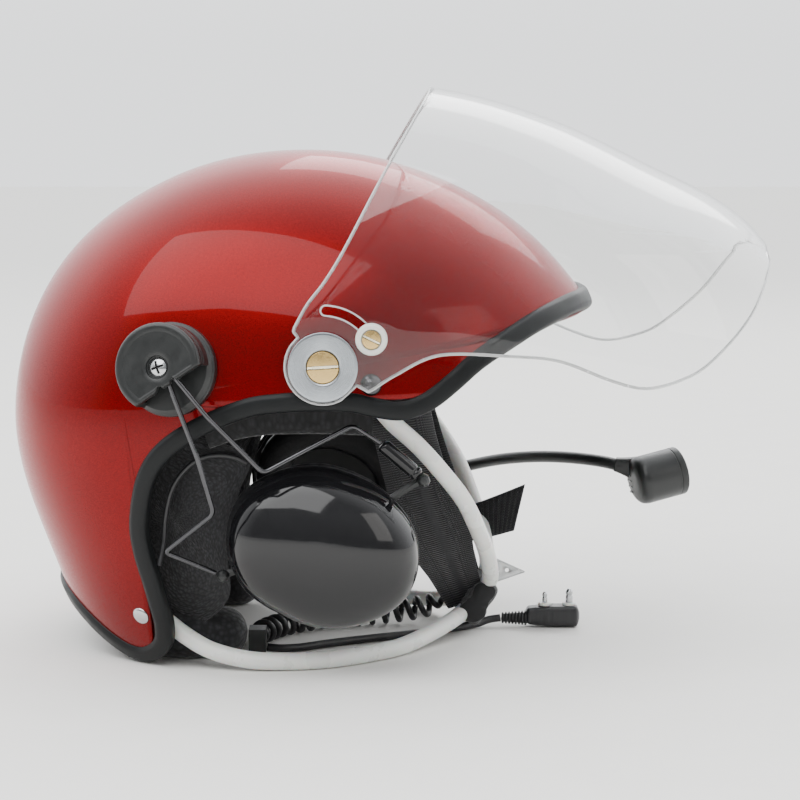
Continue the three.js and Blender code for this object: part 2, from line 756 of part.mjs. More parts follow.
function fixings() {
  const stud = onShell(studShares);
  const shank = rod(RIVET_SHANK, -SHELL_WALL - GAP / 2, RIVET_HEIGHT / 2, rivet.at, rivet.normal, 8);
  return {
    stop_stud: [seated(dome(STUD_RADIUS, STUD_HEIGHT, STUD_HEIGHT, stud)), steel],
    flap_rivet: [seated(dome(RIVET_RADIUS, RIVET_HEIGHT, RIVET_HEIGHT, rivet)).add(shank), steel],
  };
}

// Ear mount: a round base on the shell and a cap with a window where the two wires leave
const mount = onShell(mountShares);
function mountParts() {
  const { at, normal } = mount;
  const baseTop = MOUNT_BASE_THICKNESS;
  const capTop = baseTop + GAP + MOUNT_CAP_THICKNESS;
  const base = turned(
    [
      [0, -MOUNT_RADIUS / 2],
      [MOUNT_RADIUS, -MOUNT_RADIUS / 2],
      [MOUNT_RADIUS + MOUNT_WALL / 2, 0],
      [MOUNT_RADIUS + MOUNT_WALL / 2, baseTop / 2],
      [MOUNT_RADIUS - MOUNT_WALL / 2, baseTop],
      [0, baseTop],
    ],
    at,
    normal,
    18,
  );
  const inner = MOUNT_RADIUS - MOUNT_WALL;
  const capFrom = baseTop + GAP;
  const capBody = turned(
    [
      [MOUNT_RADIUS / 3, capFrom],
      [MOUNT_RADIUS / 3, capTop - MOUNT_WALL],
      [inner, capTop - MOUNT_WALL],
      [inner, capFrom],
      [MOUNT_RADIUS, capFrom],
      [MOUNT_RADIUS, capTop - MOUNT_WALL],
      [MOUNT_RADIUS - MOUNT_WALL, capTop],
      [MOUNT_SCREW_RADIUS + GAP, capTop],
      [MOUNT_SCREW_RADIUS + GAP, capTop - MOUNT_WALL / 2],
      [0, capTop - MOUNT_WALL / 2],
      [0, capFrom],
      [MOUNT_RADIUS / 3, capFrom],
    ],
    at,
    normal,
    18,
  );
  return {
    mount_base: [seated(base), blackPlastic],
    mount_cap: [capBody.subtract(mountWindow(at, normal, capFrom, capTop)), blackPlastic],
    mount_screw: [mountScrew(at, normal, capTop), steel],
  };
}

// A sector of the cap, outside the screw's boss, that is left open
function mountWindow(at, normal, from, to) {
  const reach = MOUNT_RADIUS * 1.5;
  const steps = 6;
  const fan = Array.from({ length: steps + 1 }, (_, i) => {
    const angle = radians(WINDOW_START + (WINDOW_TURN * i) / steps);
    return new THREE.Vector2(at.x + reach * Math.cos(angle), at.z + reach * Math.sin(angle));
  });
  const middle = radians(WINDOW_START + WINDOW_TURN / 2);
  const start = (2 * MOUNT_RADIUS) / 5;
  const apex = new THREE.Vector2(at.x + start * Math.cos(middle), at.z + start * Math.sin(middle));
  return sideSolid([apex, ...fan], FAR).intersect(rod(reach, from - MOUNT_WALL, to + MOUNT_WALL, at, normal, 24));
}

function mountScrew(at, normal, top) {
  const from = top - MOUNT_WALL / 2 + GAP;
  return dome(MOUNT_SCREW_RADIUS, MOUNT_WALL, 0, { at: at.clone().addScaledVector(normal, from), normal });
}

// Spring wires: from the cap down to a bend, out to a second bend and in to the cup
const rearWireShares = [
  [-0.8331, -1.0684, 1.1244],
  [-0.7355, -1.0598, 0.8595],
  [-0.6777, -1.0085, 0.6364],
  [-0.8678, -0.906, 0.4752],
  [-0.6835, -0.8538, 0.3884],
];
const rearWireRoute = placed(rearWireShares);
const frontWireShares = [
  [-0.8103, -1.0769, 1.1442],
  [-0.6942, -1.0726, 1],
  [-0.4959, -1.0342, 0.7893],
  [-0.1736, -0.9231, 0.9504],
  [-0.0702, -0.8974, 0.8802],
];
const frontWireRoute = placed(frontWireShares);
const sleeveFromShare = [-0.0669, -0.8974, 0.8769];
const sleeveFrom = point(...placed([sleeveFromShare])[0]);
const sleeveToShare = [0.0678, -0.8974, 0.7603];
const sleeveTo = point(...placed([sleeveToShare])[0]);
const rearBallShare = [-0.657, -0.8462, 0.376];
const rearBall = point(...placed([rearBallShare])[0]);
const frontBallShare = [0.0876, -0.8974, 0.7413];
const frontBall = point(...placed([frontBallShare])[0]);

function armParts() {
  const wire = (route) => tube(bent(route, WIRE_BEND), WIRE_RADIUS, 6, 13);
  const along = sleeveTo.clone().sub(sleeveFrom);
  return {
    rear_wire: [wire(rearWireRoute), steel],
    front_wire: [wire(frontWireRoute), steel],
    wire_sleeve: [rod(SLEEVE_RADIUS, 0, along.length(), sleeveFrom, along.normalize(), 12), glossBlack],
  };
}

// Ear cup: a hollow dome on a back plate, with the cushion, speaker and pivot balls
const CUP_AROUND = 20;
const CUP_ACROSS = 10;
const cupLine = (share, count = CUP_AROUND) =>
  Array.from({ length: count }, (_, i) => {
    const angle = (i / count) * 2 * Math.PI;
    const r = cupEgg.radius(angle) * share;
    return new THREE.Vector2(CUP_X + r * Math.cos(angle), CUP_Z + r * Math.sin(angle));
  });
const cupSlab = (outline, yFrom, yTo) => {
  const depth = Math.abs(yTo - yFrom);
  const geometry = new THREE.ExtrudeGeometry(new THREE.Shape(outline), { depth, bevelEnabled: false });
  geometry.rotateX(Math.PI / 2);
  geometry.translate(0, Math.max(yFrom, yTo), 0);
  return solid(geometry);
};
const cupNear = point(CUP_X, 0, CUP_Z);

function lug(ball, y) {
  const sphere = new THREE.SphereGeometry(BALL_RADIUS, 8, 6);
  sphere.translate(ball.x, ball.y, ball.z);
  const knee = point(ball.x, y, ball.z);
  const inwards = point(CUP_X, y, CUP_Z).sub(knee);
  const stem = rod(BALL_RADIUS * 0.8, 0, Math.abs(y - ball.y), ball, LEFT, 6);
  const tab = rod(PLATE_THICKNESS * 0.45, 0, inwards.length() * 0.45, knee, inwards.normalize(), 6);
  return solid(sphere).add(stem).add(tab);
}

function cupParts() {
  const inside = block(point(-FAR, CUP_BASE_Y, -FAR), point(FAR, FAR, FAR));
  const hollow = egg(cupEgg, -CUP_WALL, CUP_AROUND, CUP_ACROSS);
  const dome = egg(cupEgg, 0, CUP_AROUND, CUP_ACROSS).subtract(hollow).subtract(inside);
  const plateFrom = CUP_BASE_Y + GAP;
  const plateTo = plateFrom + PLATE_THICKNESS;
  const middle = (plateFrom + plateTo) / 2;
  const opening = rod(PLATE_OPENING_RADIUS, -FAR, FAR, cupNear, RIGHT, 18);
  const plate = cupSlab(cupLine(PLATE_SHARE), plateFrom, plateTo)
    .add(lug(rearBall, middle))
    .add(lug(frontBall, middle))
    .subtract(opening);
  const bandShare = 1 - CUSHION_BAND / 2 / CUP_RADIUS - 0.06;
  const bandMiddle = plateTo + GAP + CUSHION_DEPTH / 2;
  const bandCurve = new THREE.CatmullRomCurve3(
    cupLine(bandShare, 16).map((p) => point(p.x, bandMiddle, p.y)),
    true,
  );
  const cushion = swept(
    bandCurve,
    18,
    8,
    () => [CUSHION_DEPTH / 2, CUSHION_BAND / 2, 0.75],
    () => point(0, 1, 0),
  );
  const speakerFrom = -(CUP_BASE_Y - GAP);
  return {
    ear_cup_shell: [dome, glossBlack],
    ear_cup_plate: [plate, blackPlastic],
    ear_cushion: [cushion, foam],
    speaker: [
      rod(SPEAKER_RADIUS, -CUP_BASE_Y, speakerFrom + SPEAKER_THICKNESS, cupNear, RIGHT, 20),
      blackPlastic,
    ],
  };
}

// Chin guard tubes: one hoop from temple to temple, one from flap to flap, in a sleeve at the chin
const mirrorRoute = (half) => [...half, ...half.slice(0, -1).reverse().map(([x, y, z]) => [x, -y, z])];
const upperHoopShares = [
  [-0.095, -0.8333, 1.0289],
  [-0.0289, -0.8034, 0.9463],
  [0.0661, -0.7436, 0.8512],
  [0.1488, -0.6838, 0.7521],
  [0.2397, -0.5641, 0.6198],
  [0.3017, -0.4274, 0.4793],
  [0.343, -0.2906, 0.3554],
  [0.3595, -0.1709, 0.2438],
  [0.343, -0.0769, 0.1901],
  [0.3306, 0, 0.176],
];
const upperHoop = mirrorRoute(placed(upperHoopShares));
const lowerHoopShares = [
  [-0.9752, -0.6581, 0.2231],
  [-0.8926, -0.6667, 0.1736],
  [-0.8099, -0.7051, 0.1198],
  [-0.7107, -0.7479, 0.0727],
  [-0.562, -0.7735, 0.0413],
  [-0.4132, -0.765, 0.0339],
  [-0.2645, -0.7265, 0.0335],
  [-0.1157, -0.6239, 0.0335],
  [0, -0.5128, 0.0355],
  [0.0992, -0.3761, 0.0496],
  [0.1901, -0.2479, 0.0744],
  [0.2562, -0.1197, 0.0967],
  [0.2769, 0, 0.1033],
];
const lowerHoop = mirrorRoute(placed(lowerHoopShares));
const upperCurve = through(upperHoop);
const lowerCurve = through(lowerHoop);
piece(group, "chin_tube_upper", tube(upperCurve, TUBE_RADIUS, 8, 28), nylon);
piece(group, "chin_tube_lower", tube(lowerCurve, TUBE_RADIUS, 8, 32), nylon);

const chinSleeveShares = [
  [0.2091, 0.0785],
  [0.3083, 0.0388],
  [0.3992, 0.1942],
  [0.314, 0.2339],
];
const chinSleeveOutline = chinSleeveShares.map(([x, z]) => [x * CROWN_RADIUS, z * CROWN_RADIUS]);
const boreRadius = TUBE_RADIUS + GAP;
const chinSleeve = sideSolid(rounded(chinSleeveOutline, CHIN_SLEEVE_ROUND), CHIN_SLEEVE_HALF_LENGTH)
  .subtract(solid(tube(upperCurve, boreRadius, 8, 28)))
  .subtract(solid(tube(lowerCurve, boreRadius, 8, 32)));
piece(group, "chin_sleeve", chinSleeve, webbing);

// Chin straps: webbing from inside each temple down to the sleeve
const strapRouteShares = [
  [-0.0165, -0.7607, 1.0479],
  [0.0041, -0.7094, 0.9504],
  [0.0331, -0.6154, 0.8099],
  [0.0909, -0.4615, 0.595],
  [0.157, -0.3077, 0.405],
  [0.2636, -0.112, 0.2091],
];
const strapRoute = placed(strapRouteShares);
const strapWideShares = [1, 1, 1, 1, 0.88, 0.52];
const strapFacing = () => point(0, -1, -0.35);
function strapSolid() {
  const curve = through(strapRoute);
  const wide = (t) => {
    const place = t * (strapWideShares.length - 1);
    const i = Math.min(Math.floor(place), strapWideShares.length - 2);
    return strapWideShares[i] + (strapWideShares[i + 1] - strapWideShares[i]) * (place - i);
  };
  return swept(curve, 10, 8, (t) => [STRAP_THICKNESS / 2, (STRAP_WIDTH / 2) * wide(t), 0.35], strapFacing);
}

// The loose end of the left strap stands forward of it
const tailShares = [
  [0.2595, 0.3504, 0.4752],
  [0.314, 0.2949, 0.4835],
  [0.4132, 0.2521, 0.4545],
  [0.5124, 0.2564, 0.4752],
];
const tailRoute = placed(tailShares);
const TAIL_HALF_WIDTH = 8;
const tail = swept(
  through(tailRoute),
  8,
  8,
  (t) => [STRAP_THICKNESS / 2, TAIL_HALF_WIDTH * (1 + 0.4 * t), 0.35],
  (at, t) => point(0.6 * (1 - t), 1, 0),
);

// Boom microphone on the left cup
const boomPivot = point(BOOM_PIVOT_X, 0, BOOM_PIVOT_Z);
const boomDiscFrom = -CUP_BASE_Y + GAP;
const boomDiscMiddle = boomDiscFrom + BOOM_DISC_THICKNESS / 2;
const boomShares = [
  [0.2562, 0.8547, 0.5339],
  [0.3306, 0.7991, 0.5603],
  [0.4463, 0.6752, 0.5992],
  [0.595, 0.5128, 0.6322],
  [0.7438, 0.3419, 0.6488],
  [0.8512, 0.2265, 0.6413],
  [0.9215, 0.1761, 0.6219],
  [0.962, 0.1709, 0.6134],
];
const boomRoute = [
  [BOOM_PIVOT_X + BOOM_DISC_RADIUS / 2, boomDiscMiddle, BOOM_PIVOT_Z + 1],
  ...placed(boomShares),
];
const capsuleAtShare = [0.9628, 0.1709, 0.6132];
const capsuleAt = point(...placed([capsuleAtShare])[0]);
const capsuleAxis = point(1, -0.06, -0.2).normalize();

function micParts() {
  const boomCurve = through(boomRoute);
  const disc = rod(BOOM_DISC_RADIUS, boomDiscFrom, boomDiscFrom + BOOM_DISC_THICKNESS, boomPivot, LEFT, 18);
  const boom = disc.add(solid(tube(boomCurve, BOOM_RADIUS, 7, 17)));
  const front = CAPSULE_LENGTH;
  const edge = CAPSULE_CAP / 3;
  const profile = [
    [0, GAP],
    [CAPSULE_RADIUS - edge, GAP],
    [CAPSULE_RADIUS, edge + GAP],
    [CAPSULE_RADIUS, front],
    [0, front],
  ];
  const capFrom = front + GAP;
  const cap = [
    [0, capFrom],
    [CAPSULE_RADIUS, capFrom],
    [CAPSULE_RADIUS, capFrom + CAPSULE_CAP - edge],
    [CAPSULE_RADIUS - edge, capFrom + CAPSULE_CAP],
    [0, capFrom + CAPSULE_CAP],
  ];
  return {
    mic_boom: [boom, cordRubber],
    mic_capsule: [turned(profile, capsuleAt, capsuleAxis, 20), glossBlack],
    mic_cap: [turned(cap, capsuleAt, capsuleAxis, 20), blackPlastic],
  };
}

// The lug on the left back plate that carries the boom
function boomLug() {
  const from = -CUP_BASE_Y - GAP - PLATE_THICKNESS;
  const to = -CUP_BASE_Y;
  const arm = block(point(CUP_X + CUP_RADIUS / 2, from, BOOM_PIVOT_Z - 4), point(BOOM_PIVOT_X, to - GAP, BOOM_PIVOT_Z + 4));
  return arm.add(rod(BOOM_DISC_RADIUS, from, to, boomPivot, LEFT, 18));
}

const leftGroup = new THREE.Group();
leftGroup.scale.y = -1;
group.add(leftGroup);
for (const [side, parent] of [["right", group], ["left", leftGroup]]) {
  const parts = { ...hubParts(), ...knobParts(), ...fixings(), ...mountParts(), ...armParts(), ...cupParts() };
  parts.side_pad = [sidePad, meshCloth];
  parts.chin_strap = [strapSolid(), webbing];
  if (side === "left") {
    parts.ear_cup_plate[0] = parts.ear_cup_plate[0].add(mirrored(boomLug()));
  }
  for (const [name, [shape, material]] of Object.entries(parts)) piece(parent, name + "_" + side, shape, material);
}
piece(group, "strap_tail", tail, webbing);
for (const [name, [shape, material]] of Object.entries(micParts())) piece(group, name, shape, material);

// Curly cord behind the cups, from the junction to the chin sleeve
const coilRoute = [
  [-66.6, -51.1, 6.8],
  [-66.4, -44, 6.5],
  [-64, -33, 6.3],
  [-57, -20, 6.2],
  [-45, -8, 6.2],
  [-28, 2, 6.2],
  [-10, 7.5, 6.4],
  [8, 9.5, 8.3],
  [19, 9, 11.6],
  [26.8, 8.6, 14],
];
class Curly extends THREE.Curve {
  constructor(route) {
    super();
    this.route = route;
  }
  getPoint(t, target = new THREE.Vector3()) {
    const at = this.route.getPointAt(t);
    const along = this.route.getTangentAt(t);
    const side = point(0, 0, 1).cross(along).normalize();
    const up = along.clone().cross(side);
    const straight = (3 * COIL_WIRE_RADIUS) / this.route.getLength();
    const grow = Math.min(1, Math.max(0, (Math.min(t, 1 - t) - straight) / (2 * straight)));
    const r = (COIL_RADIUS - COIL_WIRE_RADIUS) * grow;
    const angle = 2 * Math.PI * COIL_TURNS * t;
    return target.copy(at).addScaledVector(side, r * Math.cos(angle)).addScaledVector(up, r * Math.sin(angle));
  }
}
const curly = new Curly(through(coilRoute));
piece(group, "coil_cord", tube(curly, COIL_WIRE_RADIUS, 5, COIL_TURNS * 7), cordRubber);

// Least gap between one turn and the next, measured on points one turn or more apart
function leastGap(curve, turns, radius) {
  const perTurn = 24;
  const places = Array.from({ length: turns * perTurn + 1 }, (_, i) => curve.getPoint(i / (turns * perTurn)));
  let least = Infinity;
  places.forEach((a, i) => {
    for (let j = i + perTurn; j < Math.min(places.length, i + 2 * perTurn); j++) {
      least = Math.min(least, a.distanceTo(places[j]));
    }
  });
  return least - 2 * radius;
}
console.log("curly cord's least gap to itself, mm:", leastGap(curly, COIL_TURNS, COIL_WIRE_RADIUS).toFixed(2));

// Straight lead from the junction under the chin tubes to the plug
const leadRoute = [
  [-62.2, -57, 3.4],
  [-57, -56.5, 2.8],
  [-48, -52, 2.1],
  [-34, -43, 2.1],
  [-18, -34, 2.1],
  [0, -25, 2.1],
  [16, -16, 2.1],
  [30, -6, 2.1],
  [38, 0.6, 2.3],
  [44.2, 3.8, 3.7],
  [49.4, 4.2, 4.4],
];
piece(group, "lead_cord", tube(through(leadRoute), CORD_RADIUS, 8, 22), cordRubber);

// Junction block where the cords leave the neck roll
const junctionAt = point(-66.6, -57, 6.8);
const JUNCTION_SIZE = point(8, 11, 12);
const junction = block(
  junctionAt.clone().addScaledVector(JUNCTION_SIZE, -1 / 2),
  junctionAt.clone().addScaledVector(JUNCTION_SIZE, 1 / 2),
);
piece(group, "cord_junction", junction, blackPlastic);

// Strain relief, plug and its two pins
const reliefAt = point(50, 4.2, 4.4);
const RELIEF_LENGTH = 16;
const RELIEF_RIBS = 5;
const RELIEF_RADIUS = 3.4;
const RELIEF_ROOT = 2.5;
function reliefProfile() {
  const step = RELIEF_LENGTH / RELIEF_RIBS;
  const ribs = Array.from({ length: RELIEF_RIBS }, (_, i) => [
    [RELIEF_ROOT, i * step],
    [RELIEF_RADIUS, (i + 0.15) * step],
    [RELIEF_RADIUS, (i + 0.65) * step],
    [RELIEF_ROOT, (i + 0.8) * step],
  ]).flat();
  return [[0, 0], ...ribs, [RELIEF_ROOT, RELIEF_LENGTH], [0, RELIEF_LENGTH]];
}
piece(group, "strain_relief", turned(reliefProfile(), reliefAt, point(1, 0, 0), 8), blackPlastic);
const plugFrom = point(reliefAt.x + RELIEF_LENGTH + GAP, -0.6, 0.4);
const PLUG_SIZE = point(22, 11, 10.5);
const COLLAR_RADIUS = 3.4;
const COLLAR_HEIGHT = 1.2;
const PIN_SPACING = 12;
const pinPlaces = [0, PIN_SPACING].map((shift) =>
  point(plugFrom.x + 5 + shift, plugFrom.y + PLUG_SIZE.y / 2, plugFrom.z + PLUG_SIZE.z),
);
const UP = point(0, 0, 1);
const plugOutline = rounded(
  [
    [plugFrom.x, plugFrom.z],
    [plugFrom.x + PLUG_SIZE.x, plugFrom.z],
    [plugFrom.x + PLUG_SIZE.x, plugFrom.z + PLUG_SIZE.z],
    [plugFrom.x, plugFrom.z + PLUG_SIZE.z],
  ],
  2.5,
);
const plugBody = pinPlaces.reduce(
  (body, at) => body.add(rod(COLLAR_RADIUS, -COLLAR_HEIGHT, COLLAR_HEIGHT, at, UP, 16)),
  cupSlab(plugOutline, plugFrom.y, plugFrom.y + PLUG_SIZE.y),
);
piece(group, "plug_body", plugBody, blackPlastic);
const pins = { pin_small: [1.25, 6.5], pin_large: [1.75, 8] };
Object.entries(pins).forEach(([name, [radius, length]], i) => {
  const from = COLLAR_HEIGHT + GAP;
  const waist = from + length * 0.55;
  const profile = [
    [0, from],
    [radius, from],
    [radius, waist],
    [radius * 0.65, waist + radius * 0.5],
    [radius, waist + radius],
    [radius * 0.9, from + length - radius * 0.6],
    [0, from + length],
  ];
  piece(group, name, turned(profile, pinPlaces[i], UP, 12), steel);
});

// Thin cable that crosses the right side pad
const crossRoute = [
  [-69, -93, 95.5],
  [-74, -94.5, 98.5],
  [-82, -95.5, 99.8],
  [-90, -95.5, 98],
  [-97, -95, 92.5],
  [-102.5, -94.5, 84],
  [-105.5, -94, 72],
  [-106.5, -95, 60],
  [-108.3, -98.1, 50],
];
piece(group, "cross_cable", tube(through(crossRoute), CROSS_CABLE_RADIUS, 6, 20), cordRubber);

export default group;
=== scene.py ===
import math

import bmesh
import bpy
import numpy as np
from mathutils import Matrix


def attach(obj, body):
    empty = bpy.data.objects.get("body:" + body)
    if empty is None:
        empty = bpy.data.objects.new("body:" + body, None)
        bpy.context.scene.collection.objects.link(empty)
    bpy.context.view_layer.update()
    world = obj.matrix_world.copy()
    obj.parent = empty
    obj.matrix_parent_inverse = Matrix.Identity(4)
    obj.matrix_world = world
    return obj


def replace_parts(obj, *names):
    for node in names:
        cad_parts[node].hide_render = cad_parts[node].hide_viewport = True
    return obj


bl_info = {
    "name": "Hang glider helmet",
    "version": (1, 0, 0),
    "blender": (4, 5, 0),
    "location": "3D View > Sidebar > Helmet",
    "description": "Builds an open-face flying helmet with its visor, ear cups, chin guard and cords",
    "category": "Object",
}

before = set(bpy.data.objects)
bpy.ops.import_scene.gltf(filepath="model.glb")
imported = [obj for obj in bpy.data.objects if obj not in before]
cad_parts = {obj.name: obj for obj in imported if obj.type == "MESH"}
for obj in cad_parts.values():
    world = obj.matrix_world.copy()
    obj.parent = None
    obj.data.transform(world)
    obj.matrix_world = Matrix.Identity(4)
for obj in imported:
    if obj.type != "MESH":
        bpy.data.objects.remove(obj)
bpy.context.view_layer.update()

MM = 0.001
ORIGIN_X = 6.45
UP = np.array([0.0, 0.0, 1.0])
RIGHT = (0, -1, 0)

# Shell, in millimetres about its own plane of sizes, before ORIGIN_X
CROWN_RADIUS = 121.0
SHELL_WALL = 3.2
SHELL_HALF_WIDTH, SHELL_POWER = 117.0, 2.35
SHELL_X, SHELL_Z = -48.6, 113.0
OUTLINE_SHARES = [1.306, 1.165, 1.045, 1, 1.025, 1.091, 1.124, 1.14, 1.306, 1.364, 1.388, 1.364]
EDGE_SHARES = [
    [1.5, 0.44], [1.3, 0.43], [1.125, 0.42], [1.035, 0.413], [0.91, 0.372], [0.794, 0.312],
    [0.684, 0.246], [0.592, 0.171], [0.518, 0.115], [0.453, 0.085], [0.387, 0.075], [0.293, 0.091],
    [0.22, 0.107], [0.076, 0.111], [-0.051, 0.104], [-0.16, 0.085], [-0.325, 0.017], [-0.46, -0.076],
    [-0.531, -0.188], [-0.562, -0.35], [-0.551, -0.466], [-0.52, -0.582], [-0.491, -0.701],
    [-0.482, -0.755], [-0.486, -0.819], [-0.521, -0.869], [-0.588, -0.89], [-0.7, -0.845],
    [-0.921, -0.694], [-1.15, -0.55], [-1.4, -0.4],
]
STAR_SHARES = (-0.62, 0.1)
TRIM_BLEND = 39.0

# Foam and lining inside it, with a fit gap on both sides of the foam
FIT_GAP, FOAM_THICKNESS = 0.3, 18.0
LINING_OFFSET = -SHELL_WALL - FIT_GAP - FOAM_THICKNESS - FIT_GAP
LINING_THICKNESS, LINING_SETBACK = 6.0, 9.0
LINING_STAR = (-0.7, 0.12)
LINING_NAPE_Z = 44.0

# Visor, about its hub
VISOR_REACH = 214.0
VISOR_HALF_WIDTH, VISOR_POWER = 122.0, 3.0
VISOR_THICKNESS = 2.0
VISOR_EDGE_RADIUS = 0.75
HUB_X, HUB_Z = -33.6, 142.5
ARM_RADIUS, HUB_BORE = 16.5, 8.1
VISOR_SHARES = [
    1.065, 0.977, 0.804, 0.7, 0.635, 0.596, 0.58, 0.58, 0.58, 0.58, 0.58, 0.58,
    0.6, 0.6, 0.6, 0.6, 0.6, 0.62, 0.66, 0.72, 0.8, 0.9, 1.02, 1.09,
]
VISOR_LOWER = [
    [-29, 0.108], [-7, 0.148], [5.5, 0.239], [3, 0.381], [1, 0.484], [-3.2, 0.591], [-4.4, 0.665],
    [-2.8, 0.738], [-0.2, 0.8], [5.5, 0.894], [11.1, 0.967], [13.4, 1.0], [13.8, 1.2],
]
VISOR_UPPER = [[68.3, 0.6], [72.2, 0.412], [79.5, 0.242], [89, 0.171], [104, 0.13], [130, 0.095]]
VISOR_FIRST_UPPER = [67.8, 1.2]
VISOR_STAR = (0.268, 0.225)
SLOT_RADIUS, SLOT_HALF_WIDTH = 24.5, 2.3
SLOT_START, SLOT_TURN = 30.0, 57.0
SLOT_CUT_Y, SLOT_CUT_HALF = 117.0, 14.0

# Ear cups
CUP_X, CUP_Z = -36.0, 60.0
CUP_RADIUS = 42.0
CUP_SHARES = [1.05, 0.93, 0.835, 0.84, 0.905, 1, 1, 0.94, 0.86, 0.9, 0.98, 1.09]
CUP_BASE_Y = -99.0
CUP_DEPTH, CUP_POWER, CUP_WALL = 26.0, 2.2, 2.2

FULL_TURN = 2 * math.pi
FAR = 1e4


def number_of(name, description, default, **limits):
    return bpy.props.FloatProperty(name=name, description=description, default=default, **limits)


def length_size(name, description, default, low, high):
    return number_of(name, description, default, min=low, max=high, unit="LENGTH", precision=4)


def share_size(name, description, default):
    return number_of(name, description, default, min=0, max=1, subtype="FACTOR")


def colour_of(name, description, default):
    return bpy.props.FloatVectorProperty(
        name=name, description=description, default=default, min=0, max=1, size=3, subtype="COLOR"
    )


class HelmetColours(bpy.types.PropertyGroup):
    lacquer: colour_of("Lacquer", "Candy red of the outer shell", (0.17, 0.0004, 0.0013))
    trim: colour_of("Trim", "Rubber round the shell's edge", (0.007, 0.0078, 0.0082))
    cloth: colour_of("Cloth", "Linings, straps and chin sleeve", (0.012, 0.012, 0.014))
    plastic: colour_of("Plastic", "Satin black mouldings", (0.01, 0.011, 0.011))
    nylon: colour_of("Nylon", "Visor knobs", (0.72, 0.73, 0.68))
    brass: colour_of("Brass", "Slotted screw heads", (0.72, 0.5, 0.2))
    tube: colour_of("Tube", "Translucent chin guard tube", (0.82, 0.83, 0.8))


class HelmetSizes(bpy.types.PropertyGroup):
    trim_width: length_size("Trim width", "Width of the rubber trim along the shell", 8.8 * MM, 0.004, 0.02)
    trim_depth: length_size("Trim depth", "Thickness of the trim across the shell", 7.2 * MM, 0.004, 0.02)
    tube_radius: length_size("Tube radius", "Radius of the chin guard tube", 4 * MM, 0.002, 0.01)
    wire_radius: length_size("Wire radius", "Radius of the spring wires", 1.1 * MM, 0.0005, 0.003)
    roll_radius: length_size("Roll radius", "Radius of the neck roll", 12 * MM, 0.005, 0.02)
    cushion_crease: share_size("Cushion crease", "How far the seam draws the ear cushion in", 0.1)


class HelmetStage(bpy.types.PropertyGroup):
    distance: length_size("Camera distance", "From the camera to the middle of the helmet", 1.2, 0.3, 5)
    elevation: number_of("Camera elevation", "Angle above level", math.radians(7), subtype="ANGLE")
    lens: number_of("Lens", "Focal length on a 36 mm sensor", 111.15, min=20, max=300, unit="CAMERA")
    key_power: number_of("Key light", "Power of the soft key light", 26, min=0, max=500, unit="POWER")


def to_row(points):
    """Millimetres about the shell's plane of sizes, moved to the part's origin and turned into metres."""
    return (np.asarray(points, float) + (ORIGIN_X, 0, 0)) * MM


def unit(vectors):
    size = np.linalg.norm(vectors, axis=-1, keepdims=True)
    return vectors / np.maximum(size, 1e-9)


def turns(count, shift=0.0):
    """Even angles once round."""
    return (np.arange(count) + shift) / count * FULL_TURN


def bell(values, middle, width):
    """1 at the middle, falling on both sides as exp(-(distance / width)^2)."""
    return np.exp(-(((values - middle) / width) ** 2))


def polar_radius(radii, angles):
    """Radius at an angle: a periodic Catmull-Rom curve through evenly spaced radii."""
    radii = np.asarray(radii, float)
    count = len(radii)
    steps = np.asarray(angles, float) / FULL_TURN * count
    i = np.floor(steps).astype(int)
    f = steps - i
    a, b, c, d = (radii[(i + k) % count] for k in (-1, 0, 1, 2))
    return (2 * b + (c - a) * f + (2 * a - 5 * b + 4 * c - d) * f**2 + (3 * b - a - 3 * c + d) * f**3) / 2


def side_form(x, z, shares, size, half, power):
    """A form seen from the side: its middle, its outline's radii, and its half width and power across."""
    return dict(x=x, z=z, radii=np.array(shares) * size, half=half, power=power)


SHELL_FORM = side_form(SHELL_X, SHELL_Z, OUTLINE_SHARES, CROWN_RADIUS, SHELL_HALF_WIDTH, SHELL_POWER)
VISOR_FORM = side_form(HUB_X, HUB_Z, VISOR_SHARES, VISOR_REACH, VISOR_HALF_WIDTH, VISOR_POWER)
CUP_FORM = side_form(CUP_X, CUP_Z, CUP_SHARES, CUP_RADIUS, CUP_DEPTH, CUP_POWER)


def half_width(form, x, z, offset=0.0):
    """Superellipse across: half width times (1 - share^power)^(1 / power), the share being the distance from
    the middle over the outline's radius."""
    dx, dz = x - form["x"], z - form["z"]
    outline = polar_radius(form["radii"], np.arctan2(dz, dx)) + offset
    share = np.clip(np.hypot(dx, dz) / outline, 0, 1)
    return (form["half"] + offset) * (1 - share ** form["power"]) ** (1 / form["power"])


def outward_at(form, x, z):
    """Normal of the right side: minus the slopes of the half width in X and Z, with -1 across."""
    step = 0.5
    slope_x = (half_width(form, x + step, z) - half_width(form, x - step, z)) / (2 * step)
    slope_z = (half_width(form, x, z + step) - half_width(form, x, z - step)) / (2 * step)
    return unit(np.stack([-slope_x, -np.ones_like(slope_x), -slope_z], -1))


def on_shell(x_share, z_share):
    """A place on the shell's right side, given in shares of the crown radius, and the normal there."""
    x = np.array(SHELL_X + x_share * CROWN_RADIUS)
    z = np.array(SHELL_Z + z_share * CROWN_RADIUS)
    return np.array([x, -half_width(SHELL_FORM, x, z), z]), outward_at(SHELL_FORM, x, z)


def spread(line, count, closed=False):
    """The same line with count points at even distances along it."""
    line = np.asarray(line, float)
    if closed:
        line = np.vstack([line, line[:1]])
    run = np.concatenate([[0], np.cumsum(np.linalg.norm(np.diff(line, axis=0), axis=1))])
    at = np.linspace(0, run[-1], count + 1)[:-1] if closed else np.linspace(0, run[-1], count)
    return np.stack([np.interp(at, run, line[:, k]) for k in range(line.shape[1])], 1)


